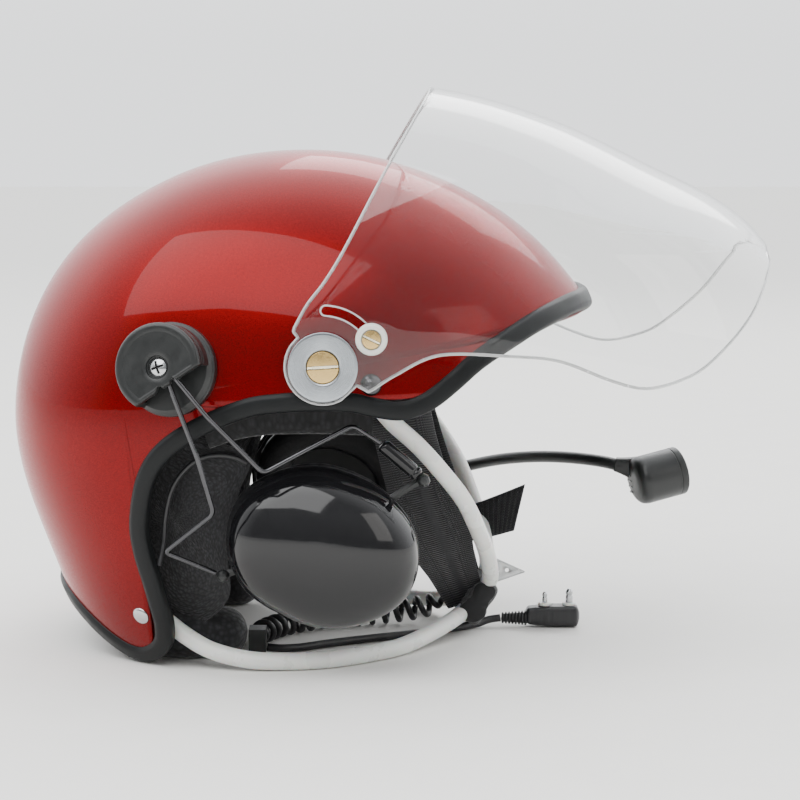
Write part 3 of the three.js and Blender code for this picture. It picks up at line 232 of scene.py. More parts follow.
def cubic_spans(start, end, leave, arrive, per_span):
    """Each span's cubic curve, from its two ends and the slopes there."""
    f = np.linspace(0, 1, per_span, endpoint=False)[:, None, None]
    cube = (2 * start - 2 * end + leave + arrive) * f**3
    square = (3 * end - 3 * start - 2 * leave - arrive) * f**2
    curve = cube + square + leave * f + start
    return curve.transpose(1, 0, 2).reshape(-1, start.shape[1])


def plain_spline(points, per_span):
    """Uniform Catmull-Rom through the points: the slope at each is half the chord of its neighbours."""
    p = np.asarray(points, float)
    padded = np.vstack([p[:1], p, p[-1:]])
    a, b, c, d = padded[:-3], padded[1:-2], padded[2:-1], padded[3:]
    return np.vstack([cubic_spans(b, c, (c - a) / 2, (d - b) / 2, per_span), p[-1:]])


def smooth_path(points, count, closed=False):
    """Centripetal Catmull-Rom: spans weighted by the square root of their chords, then set out evenly."""
    p = np.asarray(points, float)
    if closed:
        padded = np.vstack([p[-1:], p, p[:2]])
    else:
        padded = np.vstack([2 * p[:1] - p[1:2], p, 2 * p[-1:] - p[-2:-1]])
    a, b, c, d = padded[:-3], padded[1:-2], padded[2:-1], padded[3:]
    r, s, t = (np.linalg.norm(v - u, axis=1, keepdims=True) ** 0.5 for u, v in ((a, b), (b, c), (c, d)))
    leave = ((b - a) / r - (c - a) / (r + s) + (c - b) / s) * s
    arrive = ((c - b) / s - (d - b) / (s + t) + (d - c) / t) * s
    fine = cubic_spans(b, c, leave, arrive, 48)
    return spread(fine if closed else np.vstack([fine, p[-1:]]), count, closed)


def corner_bends(before, corner, after, radius, steps):
    """Quadratic bends that leave the straight runs one radius before and after each corner."""
    a = corner + radius * unit(before - corner)
    b = corner + radius * unit(after - corner)
    f = np.linspace(0, 1, steps)[:, None, None]
    curve = a * (1 - f) ** 2 + 2 * corner * f * (1 - f) + b * f**2
    return curve.transpose(1, 0, 2).reshape(-1, corner.shape[1])


def fitted_radius(before, corner, after, radius):
    """The radius, or 45 percent of the shorter run beside the corner where that is less."""
    runs = [np.linalg.norm(p - corner, axis=1) for p in (before, after)]
    return np.minimum(radius, 0.45 * np.minimum(*runs))[:, None]


def bent_path(points, bend, count):
    """Straight runs joined by bends."""
    p = np.asarray(points, float)
    bends = corner_bends(p[:-2], p[1:-1], p[2:], bend, 10)
    return spread(np.vstack([p[:1], bends, p[-1:]]), count)


def rounded_profile(points, radius, steps=4):
    """Open profile with each inner corner rounded."""
    p = np.asarray(points, float)
    beside = p[:-2], p[1:-1], p[2:]
    return np.vstack([p[:1], corner_bends(*beside, fitted_radius(*beside, radius), steps), p[-1:]])


def rounded_loop(points, radius, steps):
    """Closed outline with each corner rounded."""
    p = np.asarray(points, float)
    beside = np.roll(p, 1, 0), p, np.roll(p, -1, 0)
    return corner_bends(*beside, fitted_radius(*beside, radius), steps)


def add_piece(name, points, quads, tris, corner_uv, body="helmet", material=None, slot=None):
    """Puts whole arrays of points and faces, in millimetres, into a mesh whose origin is the part's."""
    points = np.asarray(points, float).reshape(-1, 3)
    quads = np.asarray(quads, int).reshape(-1, 4)
    tris = np.asarray(tris, int).reshape(-1, 3)
    mesh = bpy.data.meshes.new(name)
    mesh.vertices.add(len(points))
    mesh.vertices.foreach_set("co", to_row(points).ravel())
    loops = np.concatenate([quads.ravel(), tris.ravel()]).astype(np.int32)
    mesh.loops.add(len(loops))
    mesh.loops.foreach_set("vertex_index", loops)
    starts = np.concatenate([np.arange(len(quads)) * 4, 4 * len(quads) + np.arange(len(tris)) * 3])
    mesh.polygons.add(len(starts))
    mesh.polygons.foreach_set("loop_start", starts.astype(np.int32))
    mesh.update(calc_edges=True)
    flat = np.zeros((len(loops), 2))
    flat[: len(quads) * 4] = np.asarray(corner_uv, float).reshape(-1, 2)
    mesh.uv_layers.new(name="UVMap").data.foreach_set("uv", flat.ravel())
    mesh.shade_smooth()
    mesh.validate()
    piece = bpy.data.objects.new(name, mesh)
    bpy.context.scene.collection.objects.link(piece)
    if material:
        mesh.materials.append(MATERIALS[material])
    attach(piece, body)
    return piece


def face_out(piece):
    """Merges doubled points, then turns all faces the same way, out of the closed form."""
    shape = bmesh.new()
    shape.from_mesh(piece.data)
    bmesh.ops.remove_doubles(shape, verts=shape.verts, dist=2e-6)
    bmesh.ops.recalc_face_normals(shape, faces=shape.faces)
    shape.to_mesh(piece.data)
    shape.free()
    piece.data.shade_smooth()
    return piece


def grid_quads(rows, cols, wrap_rows=False, wrap_cols=False):
    """Corner indices of each cell of a grid, and each corner's place as shares of its rows and columns."""
    r = np.arange(rows if wrap_rows else rows - 1)
    c = np.arange(cols if wrap_cols else cols - 1)
    i, j = np.meshgrid(r, c, indexing="ij")
    corners_i = np.stack([i, i, i + 1, i + 1], -1)
    corners_j = np.stack([j, j + 1, j + 1, j], -1)
    quads = (corners_i % rows) * cols + corners_j % cols
    uv = np.stack([corners_j / max(len(c), 1), corners_i / max(len(r), 1)], -1)
    return quads.reshape(-1, 4), uv.reshape(-1, 4, 2)


def surface(name, grid, wrap_rows=False, wrap_cols=False, caps=(False, False), uv_scale=(1, 1), **facts):
    """A grid of points as one mesh; a cap closes the first or last row on its own middle."""
    grid = np.asarray(grid, float)
    rows, cols = grid.shape[:2]
    quads, uv = grid_quads(rows, cols, wrap_rows, wrap_cols)
    points = grid.reshape(-1, 3)
    tris = np.zeros((0, 3), int)
    around = np.arange(cols)
    for wanted, row, order in ((caps[0], 0, [0, 1, 2]), (caps[1], rows - 1, [0, 2, 1])):
        if wanted:
            points = np.vstack([points, grid[row].mean(0)])
            fan = np.stack([np.full(cols, len(points) - 1), (around + 1) % cols, around], 1)
            fan[:, 1:] += row * cols
            tris = np.vstack([tris, fan[:, order]])
    return face_out(add_piece(name, points, quads, tris, uv * np.asarray(uv_scale, float), **facts))


def frames_along(path, facing, closed=False):
    """Tangent, facing and across at each point: the facing squared to the tangent, across their cross."""
    if closed:
        along = unit(np.roll(path, -1, 0) - np.roll(path, 1, 0))
    else:
        along = unit(np.gradient(path, axis=0))
    facing = np.broadcast_to(np.asarray(facing, float), path.shape)
    facing = unit(facing - along * (facing * along).sum(1, keepdims=True))
    return along, facing, np.cross(along, facing)


def swept(name, path, section, facing=UP, scale=None, closed=False, uv_size=None, **facts):
    """A closed section carried along a path: point = path + facing * first + across * second, the section
    scaled there."""
    _, facing, across = frames_along(path, facing, closed)
    section = np.asarray(section, float)
    if section.ndim == 2:
        section = np.broadcast_to(section, (len(path),) + section.shape)
    if scale is not None:
        section = section * np.asarray(scale, float).reshape(len(path), 1, -1)
    grid = path[:, None] + facing[:, None] * section[..., :1] + across[:, None] * section[..., 1:]
    caps = (False, False) if closed else (True, True)
    run = np.linalg.norm(np.diff(path, axis=0), axis=1).sum() * MM
    girth = np.linalg.norm(section[0] - np.roll(section[0], 1, 0), axis=1).sum() * MM
    uv_scale = uv_size or (girth, run)
    return surface(name, grid, wrap_rows=closed, wrap_cols=True, caps=caps, uv_scale=uv_scale, **facts)


def round_section(radius, sides):
    """Points on a circle."""
    turn = turns(sides)
    return np.stack([radius * np.cos(turn), radius * np.sin(turn)], 1)


def squared_section(thick, wide, power, sides):
    """Superellipse: cosine and sine of the turn, each raised to the power, times the half sizes."""
    turn = turns(sides, 0.5)
    c, s = np.cos(turn), np.sin(turn)
    return np.stack([np.sign(c) * np.abs(c) ** power * thick, np.sign(s) * np.abs(s) ** power * wide], 1)


def turn_axes(normal):
    """Two axes square to the normal and to each other, and the normal itself."""
    normal = unit(np.asarray(normal, float))
    level = UP if abs(normal[2]) < 0.99 else np.array([0.0, 1.0, 0.0])
    first = unit(np.cross(level, normal))
    return first, np.cross(normal, first), normal


def lathe(name, profile, at, normal, around, radius, side=1, **facts):
    """A profile of [radius, height] turned about a normal: at + r cos(t) first + r sin(t) second + h out."""
    profile = rounded_profile(profile, radius) if radius else np.asarray(profile, float)
    profile = np.where(np.abs(profile) < 1e-9, 0, profile)
    first, second, normal = turn_axes(normal)
    turn = turns(around)
    ring = np.cos(turn)[:, None] * first + np.sin(turn)[:, None] * second
    r = np.maximum(profile[:, 0], 0.001)
    grid = np.asarray(at, float) + r[:, None, None] * ring + profile[:, 1, None, None] * normal
    ends = (profile[0, 0] < 1e-3, profile[-1, 0] < 1e-3)
    closed = not any(ends)
    if closed and np.allclose(profile[0], profile[-1]):
        grid = grid[:-1]
    return surface(name, mirror(grid, side), wrap_rows=closed, wrap_cols=True, caps=ends, **facts)


def mirror(points, side):
    """The left side is the right with Y turned round."""
    return np.asarray(points, float) * (1, side, 1)


SIDES = (("right", 1), ("left", -1))


class Finish:
    """A named material being made: its nodes, links, shader and coordinates."""

    def __init__(self, name, tone, roughness, metallic=0.0, **sockets):
        self.material = bpy.data.materials.new(name)
        self.material.use_nodes = True
        self.nodes = self.material.node_tree.nodes
        self.links = self.material.node_tree.links
        self.shader = self.nodes["Principled BSDF"]
        self.tone = tuple(tone)
        self.set("Base Color", (*tone, 1))
        self.set("Roughness", roughness)
        self.set("Metallic", metallic)
        for socket, value in sockets.items():
            self.set(socket.replace("_", " "), value)
        self.place = self.nodes.new("ShaderNodeTexCoord")

    def set(self, socket, value):
        self.shader.inputs[socket].default_value = value

    def coords(self, kind="Object", scale=(1, 1, 1)):
        mapping = self.nodes.new("ShaderNodeMapping")
        mapping.inputs["Scale"].default_value = scale
        self.links.new(self.place.outputs[kind], mapping.inputs["Vector"])
        return mapping.outputs["Vector"]

    def noise(self, vector, scale, detail, rough=0.55):
        node = self.nodes.new("ShaderNodeTexNoise")
        node.inputs["Scale"].default_value = scale
        node.inputs["Detail"].default_value = detail
        node.inputs["Roughness"].default_value = rough
        self.links.new(vector, node.inputs["Vector"])
        return node.outputs["Fac"]

    def cells(self, vector, scale):
        node = self.nodes.new("ShaderNodeTexVoronoi")
        node.inputs["Scale"].default_value = scale
        self.links.new(vector, node.inputs["Vector"])
        return node.outputs["Distance"]

    def wave(self, vector, scale, direction):
        node = self.nodes.new("ShaderNodeTexWave")
        node.bands_direction = direction
        node.inputs["Scale"].default_value = scale
        self.links.new(vector, node.inputs["Vector"])
        return node.outputs["Fac"]

    def combine(self, kind, first, second):
        node = self.nodes.new("ShaderNodeMath")
        node.operation = kind
        for socket, value in zip(node.inputs, (first, second)):
            if isinstance(value, (int, float)):
                socket.default_value = value
            else:
                self.links.new(value, socket)
        return node.outputs[0]

    def mixed(self, first, first_share, second, second_share):
        """Sum of two values, each times its share."""
        pairs = ((first, first_share), (second, second_share))
        return self.combine("ADD", *(self.combine("MULTIPLY", *pair) for pair in pairs))

    def spread(self, value, low, high, to_low, to_high):
        node = self.nodes.new("ShaderNodeMapRange")
        for socket, number in zip(list(node.inputs)[1:5], (low, high, to_low, to_high)):
            socket.default_value = number
        self.links.new(value, node.inputs[0])
        return node.outputs[0]

    def tint(self, value, dark, light):
        """Drifts the base colour between two colours."""
        node = self.nodes.new("ShaderNodeMix")
        node.data_type = "RGBA"
        node.inputs["A"].default_value = (*dark, 1)
        node.inputs["B"].default_value = (*light, 1)
        self.links.new(value, node.inputs["Factor"])
        self.links.new(node.outputs["Result"], self.shader.inputs["Base Color"])
        return self

    def shades(self, value, dark, light):
        """Drifts the base colour between two shares of itself."""
        return self.tint(value, *(tuple(c * share for c in self.tone) for share in (dark, light)))

    def shine(self, value, low, high):
        """Drifts the roughness from low to high over the middle of a noise's range."""
        self.links.new(self.spread(value, 0.3, 0.7, low, high), self.shader.inputs["Roughness"])
        return self

    def mark(self, attribute, colour, low=0.0, high=1.0):
        """Lays a colour over the base where a point attribute is set; the screw slots get their painted
        shade and painted highlight this way.
        """
        node = self.nodes.new("ShaderNodeAttribute")
        node.attribute_name = attribute
        mix = self.nodes.new("ShaderNodeMix")
        mix.data_type = "RGBA"
        mix.inputs["B"].default_value = (*colour, 1)
        base = self.shader.inputs["Base Color"].links[0].from_socket
        self.links.new(base, mix.inputs["A"])
        self.links.new(self.spread(node.outputs["Fac"], low, high, 0, 1), mix.inputs["Factor"])
        self.links.new(mix.outputs["Result"], self.shader.inputs["Base Color"])
        return self

    def bump(self, height, strength, distance):
        node = self.nodes.new("ShaderNodeBump")
        node.inputs["Strength"].default_value = strength
        node.inputs["Distance"].default_value = distance
        self.links.new(height, node.inputs["Height"])
        self.links.new(node.outputs["Normal"], self.shader.inputs["Normal"])
        return self

    def relief(self, scale, detail, strength, distance, stretch=(1, 1, 1)):
        """Fine noise as relief; gives the finished material."""
        grain = self.noise(self.coords(scale=stretch), scale, detail)
        return self.bump(grain, strength, distance).material


def candy_lacquer(colours):
    """Red metal flake under a clear coat, with the slow wave of sprayed lacquer."""
    f = Finish("candy_red_lacquer", colours.lacquer, 0.3, 0.6, Coat_Weight=0.6, Coat_Roughness=0.03,
               Coat_IOR=1.34, IOR=1.2, Specular_Tint=(1, 0.08, 0.06, 1))
    flake = f.cells(f.coords(), 2600)
    drift = f.noise(f.coords(), 22, 2)
    f.shades(f.mixed(flake, 0.55, drift, 0.45), 0.6, 1.3).shine(flake, 0.22, 0.38)
    return f.relief(160, 2, 0.06, 0.0004)


def satin_rubber(colours):
    """Moulded rubber with a fine grain and rubbed patches."""
    f = Finish("satin_trim_rubber", colours.trim, 0.42, Specular_IOR_Level=0.2)
    worn = f.noise(f.coords(), 70, 4)
    f.shades(worn, 0.75, 1.5).shine(worn, 0.34, 0.52)
    return f.relief(1900, 2, 0.22, 0.00025)


def grained_plastic(colours):
    """Spark-grained moulded plastic with small scuffs."""
    f = Finish("grained_black_plastic", colours.plastic, 0.4, Specular_IOR_Level=0.5)
    scuff = f.noise(f.coords(scale=(1, 3, 1)), 120, 5, 0.7)
    f.shades(scuff, 0.8, 1.5).shine(scuff, 0.3, 0.46)
    return f.relief(2400, 2, 0.16, 0.0002)


def gloss_plastic():
    """Polished black plastic with hairline swirls."""
    f = Finish("polished_black_plastic", (0.005, 0.005, 0.005), 0.06, Coat_Weight=0.2,
               Coat_Roughness=0.03, Specular_IOR_Level=0.36)
    haze = f.noise(f.coords(), 260, 6, 0.75)
    f.tint(haze, (0.004, 0.004, 0.005), (0.011, 0.011, 0.012)).shine(haze, 0.05, 0.13)
    return f.relief(90, 2, 0.03, 0.0003)


def clear_sheet():
    """Clear polycarbonate with faint wiping marks."""
    f = Finish("clear_polycarbonate", (0.985, 0.99, 0.99), 0.02, IOR=1.4, Transmission_Weight=1.0)
    marks = f.noise(f.coords(scale=(1, 1, 4)), 45, 6, 0.7)
    return f.shine(marks, 0.0, 0.02).material


def edge_highlight_finish():
    """Cut edge of the clear sheet: its near-white colour is a painted highlight, the light that the edge
    gathers from the whole sheet.
    """
    f = Finish("clear_edge_painted_highlight", (0.92, 0.93, 0.93), 0.12, IOR=1.5, Transmission_Weight=0.45)
    saw = f.noise(f.coords(), 320, 4, 0.7)
    f.tint(saw, (0.72, 0.74, 0.74), (0.98, 0.98, 0.98)).shine(saw, 0.06, 0.3)
    return f.bump(saw, 0.15, 0.0002).material


def frosted_tube(colours):
    """Translucent extruded tube, cloudy inside and faintly uneven."""
    f = Finish("frosted_tube", colours.tube, 0.28, Transmission_Weight=0.04, IOR=1.5,
               Subsurface_Weight=0.25, Subsurface_Scale=0.003)
    cloud = f.noise(f.coords(), 60, 4)
    f.shades(cloud, 0.98, 1.02).shine(cloud, 0.24, 0.32)
    return f.relief(350, 3, 0.03, 0.0002)


def knit_cloth(name, tone, scale):
    """Knitted spacer mesh: round cells on the surface's own map, over soft wrinkles."""
    f = Finish(name, tone, 0.85, Sheen_Weight=0.35, Sheen_Roughness=0.5)
    holes = f.cells(f.coords("UV"), scale)
    f.shades(f.spread(holes, 0.1, 0.6, 1, 0), 0.5, 2.2)
    wrinkle = f.noise(f.coords(), 55, 3)
    return f.bump(f.mixed(holes, -0.6, wrinkle, 0.8), 0.7, 0.0009).material


def woven_webbing(name, tone, scale):
    """Two crossing thread waves on the surface's own map, with fuzz."""
    f = Finish(name, tone, 0.8, Sheen_Weight=0.3, Sheen_Roughness=0.45)
    warp = f.wave(f.coords("UV"), scale, "X")
    weft = f.wave(f.coords("UV"), scale * 0.8, "Y")
    f.shades(f.combine("MULTIPLY", warp, weft), 0.6, 2.4)
    height = f.mixed(f.combine("MAXIMUM", warp, weft), 1, f.noise(f.coords(), 90, 3), 1.2)
    return f.bump(height, 0.6, 0.0007).material


def cushion_skin():
    """Soft vinyl skin: fine leather cells with shallow folds."""
    f = Finish("cushion_vinyl", (0.016, 0.016, 0.017), 0.42, Specular_IOR_Level=0.45)
    grain = f.cells(f.coords(), 700)
    fold = f.noise(f.coords(), 70, 4)
    f.tint(fold, (0.01, 0.01, 0.011), (0.028, 0.028, 0.03)).shine(fold, 0.34, 0.5)
    return f.bump(f.mixed(grain, 1, fold, 1.5), 0.35, 0.0005).material


def foam_core():
    """Open grey-black foam with pores."""
    f = Finish("liner_foam", (0.018, 0.018, 0.019), 0.9)
    pores = f.cells(f.coords(), 650)
    f.tint(pores, (0.012, 0.012, 0.012), (0.035, 0.035, 0.036))
    return f.bump(pores, 0.6, 0.0008).material


def cord_sheath():
    """Smooth black cord jacket with a slight pull along it."""
    f = Finish("cord_sheath", (0.014, 0.014, 0.015), 0.38, Specular_IOR_Level=0.5)
    pull = f.noise(f.coords("UV", (3, 40, 1)), 9, 3)
    f.tint(pull, (0.01, 0.01, 0.011), (0.026, 0.026, 0.028)).shine(pull, 0.3, 0.46)
    return f.bump(pull, 0.12, 0.0003).material


def polished_steel(name, tone, low, high):
    """Plated steel with fine scratches and a slightly dulled film; the slot floors carry painted shade."""
    f = Finish(name, tone, 0.16, 1.0)
    film = f.noise(f.coords(), 180, 5, 0.7)
    # The dark colour laid on the slot floors is painted shade.
    f.shades(film, 0.7, 1.15).shine(film, low, high).mark("slot_floor_painted_highlight_and_shade", (0.05, 0.05, 0.05))
    return f.relief(900, 3, 0.08, 0.00015, (1, 8, 1))


def brushed_disc():
    """Aluminium faced on a lathe: rings on the disc's own map, which draw the light out into fans."""
    f = Finish("turned_aluminium", (0.72, 0.73, 0.74), 0.24, 1.0, Anisotropic=0.9)
    turned = f.nodes.new("ShaderNodeTangent")
    turned.direction_type = "UV_MAP"
    turned.uv_map = "UVMap"
    f.links.new(turned.outputs["Tangent"], f.shader.inputs["Tangent"])
    lines = f.noise(f.coords("UV", (1, 60, 1)), 9, 5, 0.7)
    f.tint(lines, (0.24, 0.26, 0.28), (0.52, 0.55, 0.58)).shine(lines, 0.16, 0.34)
    return f.bump(lines, 0.12, 0.0001).material


def turned_brass(colours):
    """Brass with a tarnished film and fine scratches; the slot walls carry painted shade and the slot floor
    a painted highlight.
    """
    f = Finish("turned_brass", colours.brass, 0.22, 1.0)
    film = f.noise(f.coords(), 240, 5, 0.65)
    f.shades(film, 0.55, 1.2).shine(film, 0.14, 0.34)
    # Painted shade darkens the slot walls; a painted highlight brightens the slot floor.
    f.mark("slot_wall_painted_shade", (0.03, 0.02, 0.01)).mark("slot_floor_painted_highlight_and_shade", (1.0, 0.93, 0.72), 0.8, 1.0)
    return f.relief(700, 3, 0.12, 0.0002, (6, 1, 1))


def milky_nylon(colours):
    """White nylon, slightly cloudy, with a soft moulded skin."""
    f = Finish("milky_nylon", colours.nylon, 0.35, Subsurface_Weight=0.25, Subsurface_Scale=0.002)
    cloud = f.noise(f.coords(), 160, 4)
    f.shades(cloud, 0.86, 1.08).shine(cloud, 0.28, 0.42)
    return f.relief(900, 2, 0.08, 0.0002)


def stage_floor():
    """Pale matt table with a faint tooth."""
    f = Finish("pale_table", (0.84, 0.83, 0.8), 0.8)
    tooth = f.noise(f.coords(), 35, 4)
    return f.tint(tooth, (0.82, 0.81, 0.78), (0.86, 0.85, 0.825)).material


MATERIALS = {}


def make_finishes(colours):
    """All finishes, each by the name that the pieces call it by."""
    cloth = np.array(colours.cloth)
    MATERIALS.update(
        lacquer=candy_lacquer(colours),
        rubber=satin_rubber(colours),
        plastic=grained_plastic(colours),
        gloss=gloss_plastic(),
        clear=clear_sheet(),
        # edge: the painted highlight of the visor's cut edges, also used on the clear tag
        edge=edge_highlight_finish(),
        tube=frosted_tube(colours),
        knit=knit_cloth("knitted_mesh", cloth, 420),
        lining=knit_cloth("comfort_mesh", cloth * 0.6, 330),
        webbing=woven_webbing("woven_webbing", cloth, 300),
        sleeve=woven_webbing("sleeve_cloth", cloth * 0.9, 420),
        skin=cushion_skin(),
        foam=foam_core(),
        cord=cord_sheath(),
        steel=polished_steel("polished_steel", (0.56, 0.57, 0.58), 0.1, 0.24),
        dark_steel=polished_steel("dark_spring_steel", (0.09, 0.09, 0.095), 0.14, 0.3),
        disc=brushed_disc(),
        brass=turned_brass(colours),
        nylon=milky_nylon(colours),
    )


def dress_kept_nodes():
    """The solids that keep their mesh get a finish: foam on the liner, plastic on the others."""
    for name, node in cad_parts.items():
        node.data.materials.clear()
        node.data.materials.append(MATERIALS["foam" if name == "foam_liner" else "plastic"])


def outline_hit(form, star, angles, offset=0.0):
    """Distance from the star point along each ray to the form's side outline, by halving."""
    low, high = np.zeros_like(angles), np.full_like(angles, FAR)
    for _ in range(60):
        middle = (low + high) / 2
        dx = star[0] + middle * np.cos(angles) - form["x"]
        dz = star[1] + middle * np.sin(angles) - form["z"]
        inside = np.hypot(dx, dz) < polar_radius(form["radii"], np.arctan2(dz, dx)) + offset
        low, high = np.where(inside, middle, low), np.where(inside, high, middle)
    return low


def line_hit(line, star, angles, closed):
    """Distance from the star point to a line that goes once round it, by angle; far off where it ends."""
    d = np.asarray(line, float) - star
    turn = np.unwrap(np.arctan2(d[:, 1], d[:, 0]))
    reach = np.hypot(d[:, 0], d[:, 1])
    order = np.argsort(turn)
    turn, reach = turn[order], reach[order]
    wrapped = (angles - turn[0]) % FULL_TURN + turn[0]
    if closed:
        return np.interp(wrapped, np.append(turn, turn[0] + FULL_TURN), np.append(reach, reach[0]))
    return np.interp(wrapped, turn, reach, right=FAR)


def edge_line(setback=0.0):
    """The shell's edge in the side view, set back into the shell where asked."""
    shares = plain_spline(EDGE_SHARES, 30)
    line = spread(shares * CROWN_RADIUS + (SHELL_X, SHELL_Z), 1400)
    along = unit(np.gradient(line, axis=0))
    return line + setback * np.stack([along[:, 1], -along[:, 0]], 1)


def ray_angles(around, reach_a, reach_b):
    """Even angles, and the exact ones where one limit takes over from the other."""
    dense = np.linspace(0, FULL_TURN, 14401)[:-1]
    change = np.nonzero(np.diff(np.sign(reach_a(dense) - reach_b(dense))))[0]
    even = np.linspace(0, FULL_TURN, around + 1)[:-1] + 1e-4
    return np.sort(np.concatenate([even, dense[change]]))


def read_vectors(items, key):
    """One kind of three numbers of all items, as rows."""
    values = np.zeros(len(items) * 3)
    items.foreach_get(key, values)
    return values.reshape(-1, 3)


def two_sided(name, form, star, angles, reach, inward, cluster, offset=0.0, **facts):
    """Rays from a star point in the side view: distance = reach * (1 - (1 - s)^cluster), so that rows crowd
    at the outline, and Y = the superellipse half width there, on both sides."""
    s = np.linspace(0, 1, inward + 1)
    run = reach[:, None] * (1 - (1 - s) ** cluster)
    x = star[0] + run * np.cos(angles)[:, None]
    z = star[1] + run * np.sin(angles)[:, None]
    y = half_width(form, x, z, offset)
    on_outline = reach >= outline_hit(form, star, angles, offset) - 1e-6
    y[on_outline, -1] = 0
    right = np.stack([x, -y, z], -1)
    rows, cols = right.shape[:2]
    quads = grid_quads(rows, cols, wrap_rows=True)[0]
    points = np.vstack([right.reshape(-1, 3), mirror(right, -1).reshape(-1, 3)])
    quads = np.vstack([quads, quads[:, ::-1] + rows * cols])
    flat = np.stack([x, z], -1).reshape(-1, 2) * MM
    corner_uv = np.vstack([flat, flat])[quads.ravel()]
    piece = face_out(add_piece(name, points, quads, (), corner_uv, **facts))
    faces = piece.data.polygons
    away = read_vectors(faces, "center") - to_row([form["x"], 0, form["z"]])
    if (away * read_vectors(faces, "normal")).sum() < 0:
        piece.data.flip_normals()
    return piece


def wall(piece, thickness):
    """Gives a sheet its thickness, on its inner side."""
    solid = piece.modifiers.new("Wall", "SOLIDIFY")
    solid.thickness = thickness * MM
    solid.offset = -1
    return piece


def settle(piece):
    """Puts what the piece's modifiers make into its own mesh."""
    graph = bpy.context.evaluated_depsgraph_get()
    made = bpy.data.meshes.new_from_object(piece.evaluated_get(graph))
    piece.modifiers.clear()
    piece.data = made


def shell_sheet(name, offset, setback, star_shares, around, inward, lowest=None, **facts):
    """A sheet of the shell's form, offset from its surface, ended by the edge line and a lowest height."""
    star = np.array([SHELL_X, SHELL_Z]) + np.array(star_shares) * CROWN_RADIUS
    line = edge_line(setback)

    def to_edge(angles):
        reach = line_hit(line, star, angles, False)
        if lowest is None:
            return reach
        down = np.sin(angles) < -0.05
        floor = np.where(down, (lowest - star[1]) / np.where(down, np.sin(angles), 1), FAR)
        return np.minimum(reach, floor)

    def to_outline(angles):
        return outline_hit(SHELL_FORM, star, angles, offset)

    angles = ray_angles(around, to_edge, to_outline)
    reach = np.minimum(to_edge(angles), to_outline(angles))
    cluster = SHELL_FORM["power"]
    return two_sided(name, SHELL_FORM, star, angles, reach, inward, cluster, offset, **facts)


def make_shell():
    """Outer shell: its own surface with a wall inside it."""
    shell = shell_sheet("lacquered_shell", offset=0.0, setback=0.0, star_shares=STAR_SHARES, around=320,
                        inward=46, material="lacquer", slot="shell_paint")
    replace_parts(wall(shell, SHELL_WALL), "shell")


def trim_path(count):
    """The shell's edge line set on the middle of its wall, down one side and up the other."""
    line = spread(edge_line(), 24000)
    y = half_width(SHELL_FORM, line[:, 0], line[:, 1], -SHELL_WALL / 2)
    keep = y > 0
    side = np.stack([line[keep, 0], -y[keep], line[keep, 1]], 1)
    return spread(np.vstack([side, mirror(side[::-1], -1)]), count, True)


def trim_facing(path):
    """The shell's normal at the sides, blended into the way out of its middle where the trim crosses."""
    x, y, z = path.T
    side = outward_at(SHELL_FORM, x, z)
    side[:, 1] = np.abs(side[:, 1]) * np.where(y < 0, -1, 1)
    away = unit(np.stack([x - SHELL_X, 0 * y, z - SHELL_Z], 1))
    near = np.minimum(1, np.abs(y) / TRIM_BLEND)[:, None]
    return unit(side * near + away * (1 - near))


def make_trim():
    """Rubber channel: a squared section along the edge, a fifth larger at the brow, with a lip line."""
    sizes = bpy.context.scene.helmet_sizes
    path = trim_path(560)
    sides = 28
    section = squared_section(sizes.trim_depth / MM / 2, sizes.trim_width / MM / 2, 0.62, sides)
    section *= (1 - 0.07 * bell(turns(sides, 0.5), 0.75, 0.16))[:, None]
    brow = 1 + 0.2 * np.maximum(0, np.cos(turns(len(path)))) ** 6
    trim = swept("shell_trim", path, section, trim_facing(path), brow, True, material="rubber",
                 slot="trim_rubber")
    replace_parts(trim, "edge_trim")


SIDE_PAD = [
    [-0.715, -0.1], [-0.5, -0.02], [-0.3, -0.06], [-0.155, -0.12], [-0.2, -0.26], [-0.247, -0.45],
    [-0.25, -0.68], [-0.4, -0.8], [-0.6, -0.68], [-0.7, -0.5],
]
PAD_DEPTH, PAD_LEAST = 10.0, 2.5
LINING_EDGE_X, LINING_EDGE_Z = -121.0, 48.0
ARCH_ROUTE = [
    [-88, -92.5, 110.5], [-76, -93, 114.5], [-62, -93.5, 117], [-48, -93.5, 117.6], [-32, -93.5, 117.6],
    [-12, -93, 116.8],
]


def make_linings():
    """Lining in the back and crown; on each side a pad over the ear's rear and a lip over the ear."""
    lining = shell_sheet("comfort_lining", LINING_OFFSET, LINING_SETBACK, LINING_STAR, around=220, inward=34,
                         lowest=LINING_NAPE_Z, material="lining", slot="black_cloth")
    settle(wall(lining, LINING_THICKNESS))
    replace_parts(lining, "comfort_liner")
    for side, sign in SIDES:
        pad = side_pad(side, sign)
        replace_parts(pad, "side_pad_" + side)
        path = mirror(smooth_path(ARCH_ROUTE, 90), sign)
        lip = swept("ear_arch_padding_" + side, path, squared_section(2.6, 8.5, 0.7, 28), (0, 1, 0),
                    uv_size=(0.05, 0.1), material="lining", slot="black_cloth")


